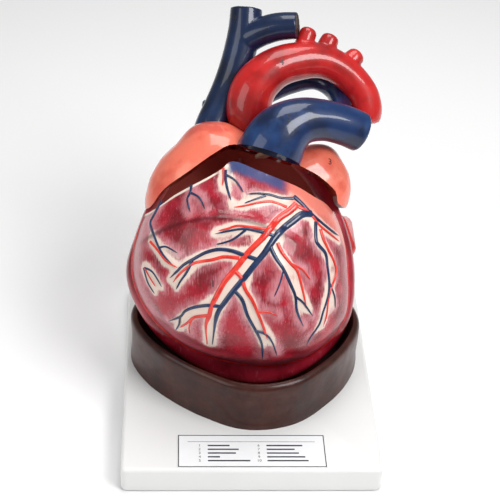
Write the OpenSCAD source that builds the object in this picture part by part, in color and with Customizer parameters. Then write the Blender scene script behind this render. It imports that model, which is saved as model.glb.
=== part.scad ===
// Human heart anatomy model, enlarged about two and a half times: a heart that comes apart,
// leaning back in a moulded cradle on a base plate.
// Millimetres. +X to the viewer's right, +Y to the back, +Z up. The origin is on the table,
// under the middle of the base plate.

/* [Base] */
// Width of the base plate
base_w = 260; // [250:1:320]
// Depth of the base plate
base_d = 310; // [300:1:380]
// Height of the top of the base plate above the table
base_h = 29; // [22:1:40]
// Thickness of the base plate's top and skirt
base_wall = 5; // [3:0.5:7]
// Radius of the base plate's rounded edges
base_round = 4; // [2:0.5:6]
// Radius of the base plate's upright corners
base_corner = 7; // [6.5:0.5:12]
// Diameter of a rubber foot
foot_d = 18; // [12:1:24]
// Thickness of a rubber foot
foot_t = 5; // [3.5:0.5:8]
// How far a foot lifts the skirt off the table
foot_drop = 2; // [1:0.5:3]
// Width of the label
label_w = 148; // [100:1:180]
// Depth of the label
label_d = 44; // [30:1:46]
// Thickness of the label
label_t = 0.6; // [0.4:0.1:1.5]
// Bare strip between the label and the front edge
label_margin = 5; // [4.5:0.5:8]
// Bare strip between the label and the cradle
label_gap = 7.5; // [6:0.5:12]

/* [Cradle] */
// Width of the cradle
cradle_w = 244; // [238:1:250]
// Depth of the cradle
cradle_d = 217; // [212:1:230]
// Height of the cradle's rim above the plate
cradle_h = 58; // [57:1:64]
// Thickness of the cradle's floor
cradle_floor = 11; // [8:0.5:13]
// Wall under the cradle's floor
cradle_wall = 5; // [4:0.5:6]
// Radius of the cradle's rolled rim
cradle_lip = 7; // [5:0.5:8]
// Clearance between the heart and its seat in the cradle
seat_gap = 0.4; // [0.3:0.1:1]
// Shank diameter of a cradle screw
screw_d = 4; // [3:0.5:5]

/* [Heart] */
// Lean of the heart's long axis back from upright, in degrees
lean = 38; // [35:1:42]
// Width of the ventricles' front cover outline
heart_w = 236; // [226:1:240]
// Height of the ventricles' front cover outline
heart_h = 236; // [230:1:239]
// Depth of the rear body behind the seam
rear_depth = 82; // [76:1:84]
// Height of the front cover above the seam
cover_rise = 92; // [80:1:104]
// Height of the heart's middle above the cradle's rim
heart_rise = 56; // [55:1:60]
// Wall of the rear body
rear_wall = 9; // [8:0.5:12]
// Wall of the front cover
cover_wall = 3.4; // [2.5:0.1:5]
// Depth of the shallow step across the front cover
crease_step = 5.5; // [0:0.5:8]
// Height of the raised vessels on the front cover
relief = 1.6; // [1:0.1:2.5]
// Thickness of the wall between the ventricles
septum_t = 12; // [8:0.5:16]
// Thickness of the wall that holds the valves
valve_wall_t = 8; // [6:0.5:12]
// Diameter of the opening for the right inlet valve
tricuspid_d = 46; // [36:1:50]
// Diameter of the opening for the left inlet valve
mitral_d = 38; // [30:1:42]
// Diameter of the opening to the aorta
aortic_d = 26; // [20:1:28]
// Diameter of the opening to the pulmonary artery
pulmonary_d = 30; // [24:1:34]
// Thickness of a valve leaflet
leaflet_t = 1.4; // [1:0.1:2]

/* [Vessels] */
// Outer diameter of the aorta
aorta_d = 46; // [40:1:50]
// Outer diameter of the pulmonary artery's left branch
pulmonary_artery_d = 41; // [36:1:44]
// Outer diameter of the superior vena cava
vena_cava_d = 34; // [28:1:38]
// Outer diameter of the inferior vena cava's stump
lower_cava_d = 34; // [26:1:40]
// Outer diameter of a pulmonary vein's stump
lung_vein_d = 20; // [14:1:24]
// Wall of the vessels
vessel_wall = 3; // [2:0.5:4]
// Wall of the atria
atrium_wall = 3.4; // [2.5:0.1:5]

/* [Fits] */
// Gap between pieces that part, and between pieces glued side by side
fit = 0.3; // [0.25:0.05:0.5]
// Diameter of a locating pin
pin_d = 4.4; // [3:0.2:5]
// Length of a locating pin
pin_l = 18; // [12:1:24]

/* [Hidden] */
$fn = 40;

// The heart's points below are drawn for a heart 236 wide, 236 high and 96 deep to each
// side of its seam, and scale with the real one.
half_w = heart_w / 2;
half_h = heart_h / 2;
scale_u = heart_w / 236;
scale_v = heart_h / 236;
scale_w = (cover_rise + rear_depth) / 2 / 96;
// Height of the outline's centre along the heart's long axis
core_v = -5 * scale_v;

// Radii of the outlines round the heart's centre, as shares of its half size, from the
// viewer's right anticlockwise in equal steps
body_outline = [
    1.02, 1.03, 1.09, 1.21, 1.31, 1.23, 1.06, 0.985,
    1.00, 0.94, 0.90, 0.90, 0.95, 1.01, 1.04, 1.05
];
cover_outline = [
    0.94, 0.96, 1.02, 1.15, 1.25, 1.18, 1.03, 0.965,
    0.935, 0.86, 0.795, 0.757, 0.77, 0.85, 0.94, 0.985
];
cradle_outline = [
    1.00, 0.98, 0.98, 0.98, 0.98, 0.98, 0.98, 0.985,
    0.985, 0.92, 0.88, 0.91, 1.00, 1.01, 0.96, 0.965
];
right_atrium_outline = [
    0.80, 0.80, 0.80, 0.83, 0.90, 0.94, 0.88, 0.93,
    1.03, 1.12, 1.05, 1.00, 0.95, 0.90, 0.85, 0.80
];
left_atrium_outline = [
    1.00, 0.97, 0.92, 0.70, 0.62, 0.60, 0.60, 0.65,
    0.70, 0.72, 0.75, 0.80, 0.85, 0.90, 0.95, 0.97
];
round_outline = [1, 1, 1, 1, 1, 1, 1, 1];

// Lower edge of the atria and upper edge of the rear body, left to right
part_line = [
    [-150, 44], [-102, 60], [-92, 64], [-79, 81], [-54, 99], [-29, 117], [-10, 126],
    [19, 120], [48, 110], [63, 103], [78, 95], [94, 81], [102, 66], [150, 64]
];
// Upper edge of the front cover
cover_line = [
    [-150, 40], [-94, 58], [-68, 75], [-38, 91], [-23, 100], [-11, 108], [16, 98],
    [50, 85], [69, 75], [85, 67], [99, 52], [108, 32], [150, 10]
];

// Seats and places. The origin is on the table, under the middle of the whole model. The
// heart leans out over the plate's back, so the plate's own middle lies in front of it.
plate_pos = [-3.6, -26, 0];
cradle_x = plate_pos[0] - 4;
cradle_y = plate_pos[1] - base_d / 2 + label_margin + label_d + label_gap + cradle_d / 2;
heart_x = cradle_x - 6.7;
heart_y = cradle_y + 8.5;
rim_z = base_h + cradle_h;
heart_pos = [heart_x, heart_y, rim_z + heart_rise];
bowl_shift = 12;
seam_gap = fit / 2;
curve_power = 2.2;
rim_power = 2;
front_rise = 16;
screw_hole = screw_d + 2 * fit;
screw_head_d = 2 * screw_d;
screw_head_h = 2.4;
screw_l = 12;
screw_spots = [45, 135, 225, 315];
screw_inset = 22;
foot_inset = base_wall + foot_d / 2 + 1;
pad_d = foot_d + 4;
pin_hole = pin_d + 2 * fit;
pin_inset = rear_wall / 2 + 0.4;
cover_pin_spots = [196, 268, 344];
boss_d = pin_d + 5;
boss_h = pin_l / 2 + 2;
septum_shear = 0.2;
valve_v = 38;
tricuspid_at = [-45, -15];
mitral_at = [60, -30];
aortic_at = [45, 6];
pulmonary_at = [12, 47];
drop = 28;

// --- Curves ------------------------------------------------------------------------------

// Point at share t between q and r on the smooth curve through p, q, r and s
function through(p, q, r, s, t) =
    ((2 * q) + (r - p) * t + (2 * p - 5 * q + 4 * r - s) * t * t
        + (3 * q - p - 3 * r + s) * t * t * t) / 2;

// Radius of a closed outline at angle a
function outline_at(outline, a) =
    let (n = len(outline), s = a / 360 * n, i = floor(s))
    through(outline[(i + n - 1) % n], outline[i % n], outline[(i + 1) % n],
        outline[(i + 2) % n], s - i);

// Smooth list of stations through the given ones
function smooth(list, steps) =
    let (last = len(list) - 1)
    concat(
        [for (i = [0:last - 1]) for (k = [0:steps - 1])
            through(list[max(0, i - 1)], list[i], list[i + 1], list[min(last, i + 2)],
                k / steps)],
        [list[last]]);

function unit(p) = p / norm(p);
function middle(ring) = [for (k = [0:2]) sum([for (p = ring) p[k]]) / len(ring)];
function sum(list, i = 0) = i < len(list) ? list[i] + sum(list, i + 1) : 0;
function clamp(x) = min(1, max(0, x));
function ease(x) = clamp(x) * clamp(x) * (3 - 2 * clamp(x));

// Place in the heart's frame of a point drawn at the nominal size
function spot(u, v, w) = [u * scale_u, v * scale_v, w * scale_w];
function spots(list) = [for (p = list) [p[0] * scale_u, p[1] * scale_v, p[2] * scale_w, p[3]]];

// Height of a parting line over a point across the heart
function line_at(line, u) =
    sum([for (i = [0:len(line) - 2])
        let (a = line[i], b = line[i + 1])
        u >= a[0] && u < b[0] ? a[1] + (b[1] - a[1]) * (u - a[0]) / (b[0] - a[0]) : 0]);

// List of stations, lengthened past its last one
function past(list, far) =
    let (n = len(list), a = list[n - 2], b = list[n - 1],
        d = far * unit([b[0] - a[0], b[1] - a[1], b[2] - a[2]]))
    concat(list, [[b[0] + d[0], b[1] + d[1], b[2] + d[2], b[3]]]);

// Solid through rings of equal length that follow each other, anticlockwise from their tip
module loft(rings) {
    n = len(rings[0]);
    last = len(rings) - 1;
    first_mid = n * (last + 1);
    points = concat([for (ring = rings) each ring], [middle(rings[0]), middle(rings[last])]);
    walls = [for (k = [0:last - 1]) for (i = [0:n - 1])
        let (j = (i + 1) % n, a = k * n, b = (k + 1) * n)
        each [[a + i, b + i, b + j], [a + i, b + j, a + j]]];
    start = [for (i = [0:n - 1]) [first_mid, i, (i + 1) % n]];
    end = [for (i = [0:n - 1]) [first_mid + 1, last * n + (i + 1) % n, last * n + i]];
    polyhedron(points = points, faces = concat(walls, start, end));
}

// Makes what it holds one moulded mesh
module moulded() { resize([0, 0, 0]) children(); }

// The heart's frame: X across, Y up its long axis, Z out of its front
module in_heart() { translate(heart_pos) rotate([90 - lean, 0, 0]) children(); }

// Ring of an outline: half width, half height, share of the radius and level
function ring_of(outline, half_a, half_b, mid, share, level, sides) =
    [for (i = [0:sides - 1])
        let (a = i * 360 / sides, r = outline_at(outline, a) * share)
        [mid[0] + half_a * r * cos(a), mid[1] + half_b * r * sin(a), level]];

// Dome over an outline, from its flat foot to its crown; lead lengthens the foot downwards
function dome_rings(outline, half_a, half_b, mid, rise, power, steps, sides, lead = 0) =
    concat(
        lead > 0 ? [ring_of(outline, half_a, half_b, mid, 1, -lead, sides)] : [],
        [for (k = [0:steps])
            let (a = 87 * k / steps)
            ring_of(outline, half_a, half_b, mid, pow(cos(a), 2 / power),
                rise * pow(sin(a), 2 / power), sides)]);

// Tube along stations [x, y, z, radius], with a round nose of the given length at its end
function tube_rings(list, sides, grow = 0, lead = 0, nose = 0, flat = 1, ref = [0, 0, 1]) =
    let (
        n = len(list),
        at = [for (s = list) [s[0], s[1], s[2]]],
        dir = [for (i = [0:n - 1]) unit(at[min(n - 1, i + 1)] - at[max(0, i - 1)])],
        end = n - 1,
        stations = concat(
            lead > 0 ? [[at[0] - dir[0] * lead, dir[0], list[0][3]]] : [],
            [for (i = [0:end]) [at[i], dir[i], list[i][3]]],
            nose > 0 ? [for (a = [30, 60, 82])
                [at[end] + dir[end] * nose * sin(a), dir[end], list[end][3] * cos(a)]] : []))
    [for (s = stations)
        let (side = unit(cross(s[1], ref)), deep = cross(s[1], side), r = s[2] + grow)
        [for (i = [0:sides - 1])
            let (a = i * 360 / sides)
            s[0] + side * r * cos(a) + deep * r * flat * sin(a)]];

// --- Base --------------------------------------------------------------------------------

module plate_form(w, d, low, high, corner, edge, sides = 16) {
    x = w / 2 - corner;
    y = d / 2 - corner;
    hull() for (sx = [-1, 1], sy = [-1, 1]) translate([sx * x, sy * y, low]) {
        cylinder(r = corner, h = high - low - edge, $fn = sides);
        cylinder(r = corner - 0.3 * edge, h = high - low - 0.3 * edge, $fn = sides);
        cylinder(r = corner - edge, h = high - low, $fn = sides);
    }
}

module at_feet() {
    for (sx = [-1, 1], sy = [-1, 1])
        translate(plate_pos
            + [sx * (base_w / 2 - foot_inset), sy * (base_d / 2 - foot_inset), 0])
            children();
}

module at_screws() {
    for (a = screw_spots)
        let (r = outline_at(cradle_outline, a))
        translate([cradle_x + (cradle_w / 2 * r - screw_inset) * cos(a),
            cradle_y + (cradle_d / 2 * r - screw_inset) * sin(a), 0])
            children();
}

module base_plate() color("whitesmoke") moulded() difference() {
    union() {
        translate(plate_pos) difference() {
            plate_form(base_w, base_d, foot_drop, base_h, base_corner, base_round);
            plate_form(base_w - 2 * base_wall, base_d - 2 * base_wall, -1,
                base_h - base_wall, base_corner - base_wall + 1, 1, 12);
        }
        at_feet() translate([0, 0, foot_t])
            cylinder(d = pad_d, h = base_h - foot_t - 1, $fn = 16);
    }
    at_screws() translate([0, 0, base_h - base_wall - 1])
        cylinder(d = screw_hole, h = base_wall + 2, $fn = 16);
}

module rubber_feet() color("dimgray") at_feet() cylinder(d = foot_d, h = foot_t);

module base_label() color("white")
    translate(plate_pos
        + [0, -base_d / 2 + label_margin + label_d / 2, base_h + label_t / 2])
        cube([label_w, label_d, label_t], center = true);

// --- Cradle ------------------------------------------------------------------------------

function cradle_ring(inset, z, forward = 0) =
    ring_of(cradle_outline, cradle_w / 2 - inset, cradle_d / 2 - inset,
        [cradle_x, cradle_y - forward], 1, z, 40);

module cradle_block() {
    lip = cradle_lip;
    loft(concat(
        [cradle_ring(0, base_h), cradle_ring(0, rim_z - lip)],
        [for (a = [30, 60, 90])
            cradle_ring(lip * (1 - cos(a)), rim_z - lip * (1 - sin(a)))]));
}

// Bowl inside the rim, set forward so that the back holds the leaning heart
module cradle_bowl() {
    lip = cradle_lip;
    deep = cradle_h - cradle_floor;
    floor_z = base_h + cradle_floor;
    loft([
        cradle_ring(5.1 * lip, floor_z, bowl_shift),
        cradle_ring(3.4 * lip, floor_z + 0.13 * deep, bowl_shift),
        cradle_ring(2.3 * lip, floor_z + 0.43 * deep, bowl_shift / 2),
        cradle_ring(1.6 * lip, rim_z - lip),
        cradle_ring(1.2 * lip, rim_z - 0.2 * lip), cradle_ring(lip, rim_z + 0.01),
        cradle_ring(lip, rim_z + 5)
    ]);
}

// Shallow hollow under the floor, clear of the seat and of the screws' bosses
module cradle_hollow() {
    difference() {
        loft([
            cradle_ring(2 * cradle_lip, base_h - 1),
            cradle_ring(2 * cradle_lip, base_h + cradle_floor - cradle_wall)
        ]);
        in_heart() rear_form(seat_gap + cradle_wall, 5, 24);
        at_screws() translate([0, 0, base_h - 2])
            cylinder(d = screw_d + 7, h = cradle_h, $fn = 16);
    }
}

module cradle() color([0.22, 0.11, 0.08]) moulded() difference() {
    cradle_block();
    cradle_bowl();
    in_heart() rear_form(seat_gap);
    cradle_hollow();
    at_screws() translate([0, 0, base_h - 1])
        cylinder(d = screw_hole, h = screw_l - base_wall + fit, $fn = 16);
}

module cradle_screws() color("silver") at_screws() {
    translate([0, 0, base_h - base_wall - screw_head_h])
        cylinder(d = screw_head_d, h = screw_head_h);
    translate([0, 0, base_h - base_wall - 1]) cylinder(d = screw_d, h = screw_l);
}

// --- Heart forms -------------------------------------------------------------------------

// Step across the front cover, above a curved line
function crease(u, v) =
    let (line = 56 - 0.004 * pow(u / scale_u + 25, 2))
    crease_step * ease((v / scale_v - line + 8) / 18) * ease((62 - u / scale_u) / 30)
        * ease((118 - v / scale_v) / 30);

// Height of the front surface over a point, grown outwards by grow
function front_at(u, v, grow = 0) =
    let (
        a = u / (half_w + grow),
        b = (v - core_v) / (half_h + grow),
        r = clamp(norm([a, b]) / outline_at(cover_outline, (atan2(b, a) + 360) % 360)))
    (cover_rise + grow) * pow(1 - pow(r, curve_power), 1 / curve_power) - crease(u, v);

function front_rings(grow, steps, sides, lead = 0) =
    [for (ring = dome_rings(cover_outline, half_w + grow, half_h + grow, [0, core_v],
            cover_rise + grow, curve_power, steps, sides, lead))
        [for (p = ring) p[2] > 1 ? [p[0], p[1], p[2] - crease(p[0], p[1])] : p]];

module front_form(grow, steps = 10, sides = 40, lead = 0) {
    loft(front_rings(grow, steps, sides, lead));
}

// Ring between the cover's outline and the body's outline
function flare_ring(grow, share, level, sides) =
    [for (i = [0:sides - 1])
        let (
            a = i * 360 / sides,
            r = outline_at(cover_outline, a) * (1 - share)
                + outline_at(body_outline, a) * share)
        [(half_w * r + grow) * cos(a), core_v + (half_h * r + grow) * sin(a), level]];

// The rear body's outer form: a flare out from the seam, then a round back
module rear_form(grow, steps = 8, sides = 40) {
    deep = rear_depth + grow - front_rise;
    back = [for (k = [steps:-1:0])
        let (a = 87 * k / steps, share = pow(cos(a), 2 / rim_power))
        ring_of(body_outline, half_w + grow, half_h + grow, [0, core_v], share,
            -front_rise - deep * pow(sin(a), 2 / rim_power), sides)];
    loft(concat(back, [
        flare_ring(grow, 0.93, -0.55 * front_rise, sides),
        flare_ring(grow, 0.62, -0.2 * front_rise, sides),
        flare_ring(grow, 0.02, 0, sides)
    ]));
}

// Hollow of the rear body, open at the seam
module rear_hollow(gap = 0) {
    inset = rear_wall + gap;
    mirror([0, 0, 1]) loft(dome_rings(cover_outline, half_w - inset, half_h - inset,
        [0, core_v], rear_depth - inset, curve_power, 7, 32, 2));
}

// Room inside the closed heart, less a gap
module chamber(gap) {
    rear_hollow(gap);
    front_form(-cover_wall - 1 - gap, 7, 32);
}

// Everything below a parting line, moved along the heart's long axis by shift
module below(line, shift = 0) {
    deep = 2 * (cover_rise + rear_depth);
    translate([0, 0, -deep / 2]) linear_extrude(deep)
        polygon(concat([for (p = line) [p[0] * scale_u, p[1] * scale_v + shift]],
            [[far / 2, -far], [-far / 2, -far]]));
}

module above(line, shift = 0) {
    deep = 2 * (cover_rise + rear_depth);
    translate([0, 0, -deep / 2]) linear_extrude(deep)
        polygon(concat([for (p = line) [p[0] * scale_u, p[1] * scale_v + shift]],
            [[far / 2, far], [-far / 2, far]]));
}

// --- Rear body and what it holds ---------------------------------------------------------

function cover_pin_at(a) =
    let (r = outline_at(cover_outline, a))
    [(half_w * r - pin_inset) * cos(a), core_v + (half_h * r - pin_inset) * sin(a), 0];

// The vessel pins stand across the parting line, and ribs join their bosses to the atria
vessel_pin_spots = [for (p = [[-84, -22], [0, -44], [76, -22]])
    spot(p[0], line_at(part_line, p[0]), p[1])];
rib_ends = [[-22, 0, 0], [0, 0, -22], [44, 0, 0]];

module vessel_pin_holes() {
    for (p = vessel_pin_spots) translate(p) rotate([-90, 0, 0])
        translate([0, 0, -pin_l / 2 - fit])
            cylinder(d = pin_hole, h = pin_l + 2 * fit, $fn = 16);
}

module rear_body() color([0.62, 0.16, 0.2]) in_heart() moulded() difference() {
    intersection() {
        union() {
            difference() {
                rear_form(0);
                rear_hollow();
            }
            intersection() {
                rear_form(-1);
                pin_posts();
            }
        }
        below(part_line, -fit / 2);
        translate([0, 0, -seam_gap - far / 2]) cube(far, center = true);
    }
    for (a = cover_pin_spots) translate(cover_pin_at(a) - [0, 0, pin_l / 2 + fit])
        cylinder(d = pin_hole, h = pin_l, $fn = 16);
    vessel_pin_holes();
    veins_form(fit);
    lower_cava_form(fit);
}

// Posts in the rear body round the vessel pins
module pin_posts() {
    for (p = vessel_pin_spots) translate(p) rotate([-90, 0, 0])
        translate([0, 0, -pin_l]) cylinder(d = boss_d, h = 2 * pin_l, $fn = 16);
}

// Longer than any piece of the heart, for cuts that run right through it
far = 400;

module septum_slab(grow) {
    t = septum_t + 2 * grow;
    multmatrix([[1, 0, septum_shear, 0], [0, 1, 0, 0], [0, 0, 1, 0]])
        translate([0, 0, -130]) linear_extrude(220) polygon([
            [26 * scale_u - t / 2, 60], [26 * scale_u + t / 2, 60],
            [6 * scale_u + t / 2, -10], [-34 * scale_u + t / 2, -75],
            [-50 * scale_u + t / 2, -130], [-50 * scale_u - t / 2, -130],
            [-34 * scale_u - t / 2, -75], [6 * scale_u - t / 2, -10]
        ]);
}

module septum() color([0.72, 0.2, 0.24]) in_heart() moulded() intersection() {
    septum_slab(0);
    chamber(fit);
    translate([0, valve_v - valve_wall_t / 2 - fit - far / 2, 0]) cube(far, center = true);
}

module valve_hole(at, d) {
    translate([at[0] * scale_u, valve_v, at[1] * scale_w]) rotate([-90, 0, 0])
        cylinder(d = d, h = 3 * valve_wall_t, center = true, $fn = 28);
}

module valve_wall() color([0.8, 0.35, 0.33]) in_heart() moulded() difference() {
    intersection() {
        chamber(fit);
        translate([0, valve_v, 0]) cube([far, valve_wall_t, far], center = true);
    }
    valve_hole(tricuspid_at, tricuspid_d);
    valve_hole(mitral_at, mitral_d);
    valve_hole(aortic_at, aortic_d);
    valve_hole(pulmonary_at, pulmonary_d);
}

// Middle of a leaflet's free edge
function leaflet_tip(at, d, a) =
    let (r = (d / 2 - fit) * 0.5 + leaflet_t / 2)
    [at[0] * scale_u + r * cos(a), valve_v - valve_wall_t / 2 - drop + 1.5,
        at[1] * scale_w - r * sin(a)];

// Ring seated in the valve wall, with leaflets that hang down from it as a cut cone
module leaflet_valve(at, d, cuts) {
    outer = d / 2 - fit;
    low = -valve_wall_t / 2;
    translate([at[0] * scale_u, valve_v, at[1] * scale_w]) rotate([-90, 0, 0])
        difference() {
            rotate_extrude($fn = 24) polygon([
                [outer, low], [outer, -low], [outer - 2.5, -low],
                [outer - 2 - leaflet_t, low], [outer * 0.5, low - drop],
                [outer * 0.5 + leaflet_t, low - drop]
            ]);
            for (k = [0:cuts - 1]) rotate([0, 0, 90 + k * 360 / cuts])
                translate([outer, 0, low - drop]) scale([1, 0.36, 1])
                    cylinder(r1 = outer, r2 = 0.5, h = drop * 0.8, $fn = 12);
        }
}

// Cords from the muscles' tips to the leaflets' free edges
module cords(tips, ends) {
    for (tip = tips, end = ends)
        loft(tube_rings([concat(tip, cord_r), concat((tip + end) / 2, cord_r),
            concat(end, cord_r)], 5, 0, 0, 0, 1, [0.3, 0.2, 1]));
}

module tricuspid_valve() color([0.93, 0.85, 0.75]) in_heart() moulded() difference() {
    union() {
        leaflet_valve(tricuspid_at, tricuspid_d, 3);
        cords([right_tips[0]],
            [for (a = [30, 150]) leaflet_tip(tricuspid_at, tricuspid_d, a)]);
        cords([right_tips[1]],
            [for (a = [150, 270]) leaflet_tip(tricuspid_at, tricuspid_d, a)]);
    }
    right_papillary_form(fit);
}

module mitral_valve() color([0.93, 0.85, 0.75]) in_heart() moulded() difference() {
    union() {
        leaflet_valve(mitral_at, mitral_d, 2);
        cords(left_tips, [for (a = [0, 180]) leaflet_tip(mitral_at, mitral_d, a)]);
    }
    left_papillary_form(fit);
}

// The papillary muscles' feet on the chamber's wall, and their tips
right_feet = [spot(-66, -68, -54), spot(-100, -38, -38)];
right_tips = [spot(-50, -33, -24), spot(-68, -24, -28)];
left_feet = [spot(12, -82, -74), spot(92, -68, -42)];
left_tips = [spot(48, -34, -46), spot(76, -32, -34)];
cord_r = 0.9;

// Cone of muscle from the chamber's wall to its blunt tip
module papilla(foot, tip, r1, r2, grow) {
    loft(tube_rings(smooth([concat(foot, r1), concat((foot + tip) / 2, r1 * 0.72),
        concat(tip, r2)], 2), 10, grow, 4, r2 + grow, 1, [1, 0.2, 0]));
}

module right_papillary_form(grow) {
    for (i = [0, 1]) papilla(right_feet[i], right_tips[i], 11, 4, grow);
}

module left_papillary_form(grow) {
    for (i = [0, 1]) papilla(left_feet[i], left_tips[i], 12, 4, grow);
}

module right_papillary_muscles() color([0.75, 0.25, 0.27]) in_heart() moulded()
    difference() {
        intersection() {
            right_papillary_form(0);
            rear_hollow(fit);
        }
        septum_slab(fit);
    }

module left_papillary_muscles() color([0.75, 0.25, 0.27]) in_heart() moulded()
    difference() {
        intersection() {
            left_papillary_form(0);
            rear_hollow(fit);
        }
        septum_slab(fit);
    }

// Block of the left atrium at the viewer's right, with the left pulmonary veins' mouths
module veins_form(grow) {
    r = lung_vein_d / 2 + grow;
    hull() {
        translate(spot(104, 48, -34)) sphere(r = r + 1, $fn = 16);
        translate(spot(112, 48, -58)) sphere(r = r + 1, $fn = 16);
        translate(spot(113, 24, -34)) sphere(r = r + 1, $fn = 16);
        translate(spot(114, 26, -54)) sphere(r = r, $fn = 16);
        translate(spot(88, 36, -40)) sphere(r = r, $fn = 16);
    }
}

module left_pulmonary_veins() color([0.9, 0.42, 0.38]) in_heart() moulded() difference() {
    intersection() {
        veins_form(0);
        below(part_line, -fit);
    }
    rear_hollow(-rear_wall * 0.4);
    for (v = [24, 46]) translate(spot(113, v, -52)) rotate([10, 128, 0])
        cylinder(d = lung_vein_d - 2 * vessel_wall - 4, h = 30, $fn = 20);
}

right_vein_paths = [
    [[-62, 52, -52, 0.5], [-76, 58, -70, 0.5], [-94, 62, -80, 0.48]],
    [[-62, 22, -62, 0.5], [-76, 28, -82, 0.5], [-92, 32, -92, 0.48]]
];

// Stations of a stub, with shares of its full diameter d turned into radii
function stub(path, d, grow) =
    smooth([for (s = spots(path)) [s[0], s[1], s[2], s[3] * d + grow]], 2);

module stub_bore(path, d, sides) {
    loft(tube_rings(past(stub(path, d, -vessel_wall), vessel_wall), sides, 0, 8, 0, 1,
        [0, 1, 0]));
}

module right_veins_form(grow) {
    for (path = right_vein_paths)
        loft(tube_rings(stub(path, lung_vein_d, grow), 14, 0, 0, 0, 1, [0, 1, 0]));
}

module right_pulmonary_veins() color([0.85, 0.35, 0.33]) in_heart() moulded()
    difference() {
        right_veins_form(0);
        rear_form(fit);
        for (path = right_vein_paths) stub_bore(path, lung_vein_d, 10);
    }

lower_cava_path = [[-7, 35, -63, 0.5], [-10.5, 37, -86, 0.5], [-14.5, 42.7, -104, 0.48]];

module lower_cava_form(grow) {
    loft(tube_rings(stub(lower_cava_path, lower_cava_d, grow), 16, 0, 0, 0, 1, [0, 1, 0]));
}

module inferior_vena_cava() color([0.1, 0.14, 0.36]) in_heart() moulded() difference() {
    lower_cava_form(0);
    rear_hollow(-rear_wall * 0.4);
    stub_bore(lower_cava_path, lower_cava_d, 12);
}

module cover_pins() color("silver") in_heart() for (a = cover_pin_spots)
    translate(cover_pin_at(a) - [0, 0, pin_l / 2]) cylinder(d = pin_d, h = pin_l);

module vessel_pins() color("silver") in_heart() for (p = vessel_pin_spots)
    translate(p) rotate([-90, 0, 0]) translate([0, 0, -pin_l / 2])
        cylinder(d = pin_d, h = pin_l);

// --- Front cover -------------------------------------------------------------------------

// Raised vessels on the cover, as points across and up the heart, and their widths
coronary_arteries = [
    [[51, 66], [33, 52], [16, 32], [-11, 1], [-27, -23], [-37, -53], [-35, -72]],
    [[31, 28], [44, 8], [56, -17], [60, -33]],
    [[-11, 1], [0, -17], [13, -41], [23, -66]],
    [[-6, 13], [-32, 11], [-52, 6], [-69, -11]],
    [[67, 54], [75, 42], [82, 24], [92, 2], [86, -17], [79, -54]],
    [[20, 41], [-8, 44], [-26, 39]],
    [[-35, -43], [-55, -51]]
];
coronary_veins = [
    [[66, 57], [45, 48], [27, 31], [9, 7], [-11, -18], [-25, -38], [-30, -72]],
    [[66, 57], [77, 48], [93, 37]],
    [[70, 49], [71, 32], [80, 18], [84, -10], [78, -39], [63, -73]],
    [[24, 24], [37, 2], [49, -24], [57, -53]],
    [[-11, -18], [3, -43], [11, -57], [20, -85]],
    [[10, 12], [-14, 20], [-38, 18], [-59, 6], [-72, -7]],
    [[-24, -34], [-48, -35], [-70, -49]],
    [[27, 35], [1, 41], [-28, 36]],
    [[-84, 60], [-92, 48], [-87, 31], [-78, 14], [-68, 5]]
];
main_width = 4;
branch_width = 3;
ridge_flat = 0.7;

module ridge(path, width, steps) {
    list = smooth([for (p = path) [p[0] * scale_u, p[1] * scale_v]], steps);
    last = len(list) - 1;
    loft(tube_rings([for (i = [0:last])
        let (p = list[i], r = width * (1 - 0.45 * i / last))
        [p[0], p[1], front_at(p[0], p[1]) + relief - ridge_flat * r, r]], 4, 0, 0, 0,
        ridge_flat));
}

module coronary_relief() {
    for (i = [0:len(coronary_arteries) - 1])
        ridge(coronary_arteries[i], i == 0 ? main_width : branch_width, i == 0 ? 2 : 1);
    for (i = [0:len(coronary_veins) - 1])
        ridge(coronary_veins[i], i == 0 ? main_width : branch_width, i == 0 ? 2 : 1);
}

module ventricle_cover() color([0.7, 0.18, 0.24]) in_heart()
    translate([0, 0, seam_gap]) moulded() intersection() {
        below(cover_line);
        difference() {
            union() {
                difference() {
                    front_form(0);
                    front_form(-cover_wall, 8, 36, 1);
                }
                intersection() {
                    front_form(-cover_wall / 3, 7, 32);
                    for (a = cover_pin_spots) translate(cover_pin_at(a))
                        cylinder(d = boss_d, h = boss_h, $fn = 16);
                }
                coronary_relief();
            }
            for (a = cover_pin_spots) translate(cover_pin_at(a) - [0, 0, 1])
                cylinder(d = pin_hole, h = pin_l / 2 + 1 + fit, $fn = 16);
        }
    }

// --- Vessels and atria -------------------------------------------------------------------

// Closed pebble over an outline: a front dome and a rear dome on one ring
module pebble(outline, mid, half, front, back, grow, steps, sides) {
    rear = [for (k = [steps:-1:1])
        let (a = 87 * k / steps, share = pow(cos(a), 2 / curve_power))
        ring_of(outline, half * scale_u + grow, half * scale_v + grow, mid, share,
            -(back * scale_w + grow) * pow(sin(a), 2 / curve_power), sides)];
    face = dome_rings(outline, half * scale_u + grow, half * scale_v + grow, mid,
        front * scale_w + grow, curve_power, steps, sides);
    loft(concat(rear, face));
}

module right_atrium_form(grow, steps = 7, sides = 36) {
    pebble(right_atrium_outline, [-20 * scale_u, 85 * scale_v], 75, 60, 74, grow, steps,
        sides);
}

module left_atrium_form(grow, steps = 7, sides = 36) {
    pebble(left_atrium_outline, [45 * scale_u, 85 * scale_v], 69, 44, 78, grow, steps,
        sides);
}

// Bosses at the atria's lower edge that take the vessel pins
module atrium_bosses() {
    for (i = [0:2]) translate(vessel_pin_spots[i]) rotate([-90, 0, 0])
        translate([0, 0, -pin_l]) linear_extrude(1.8 * pin_l) hull() {
            circle(d = boss_d, $fn = 16);
            translate([rib_ends[i][0], -rib_ends[i][2]]) circle(d = pin_d, $fn = 8);
        }
}

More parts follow.
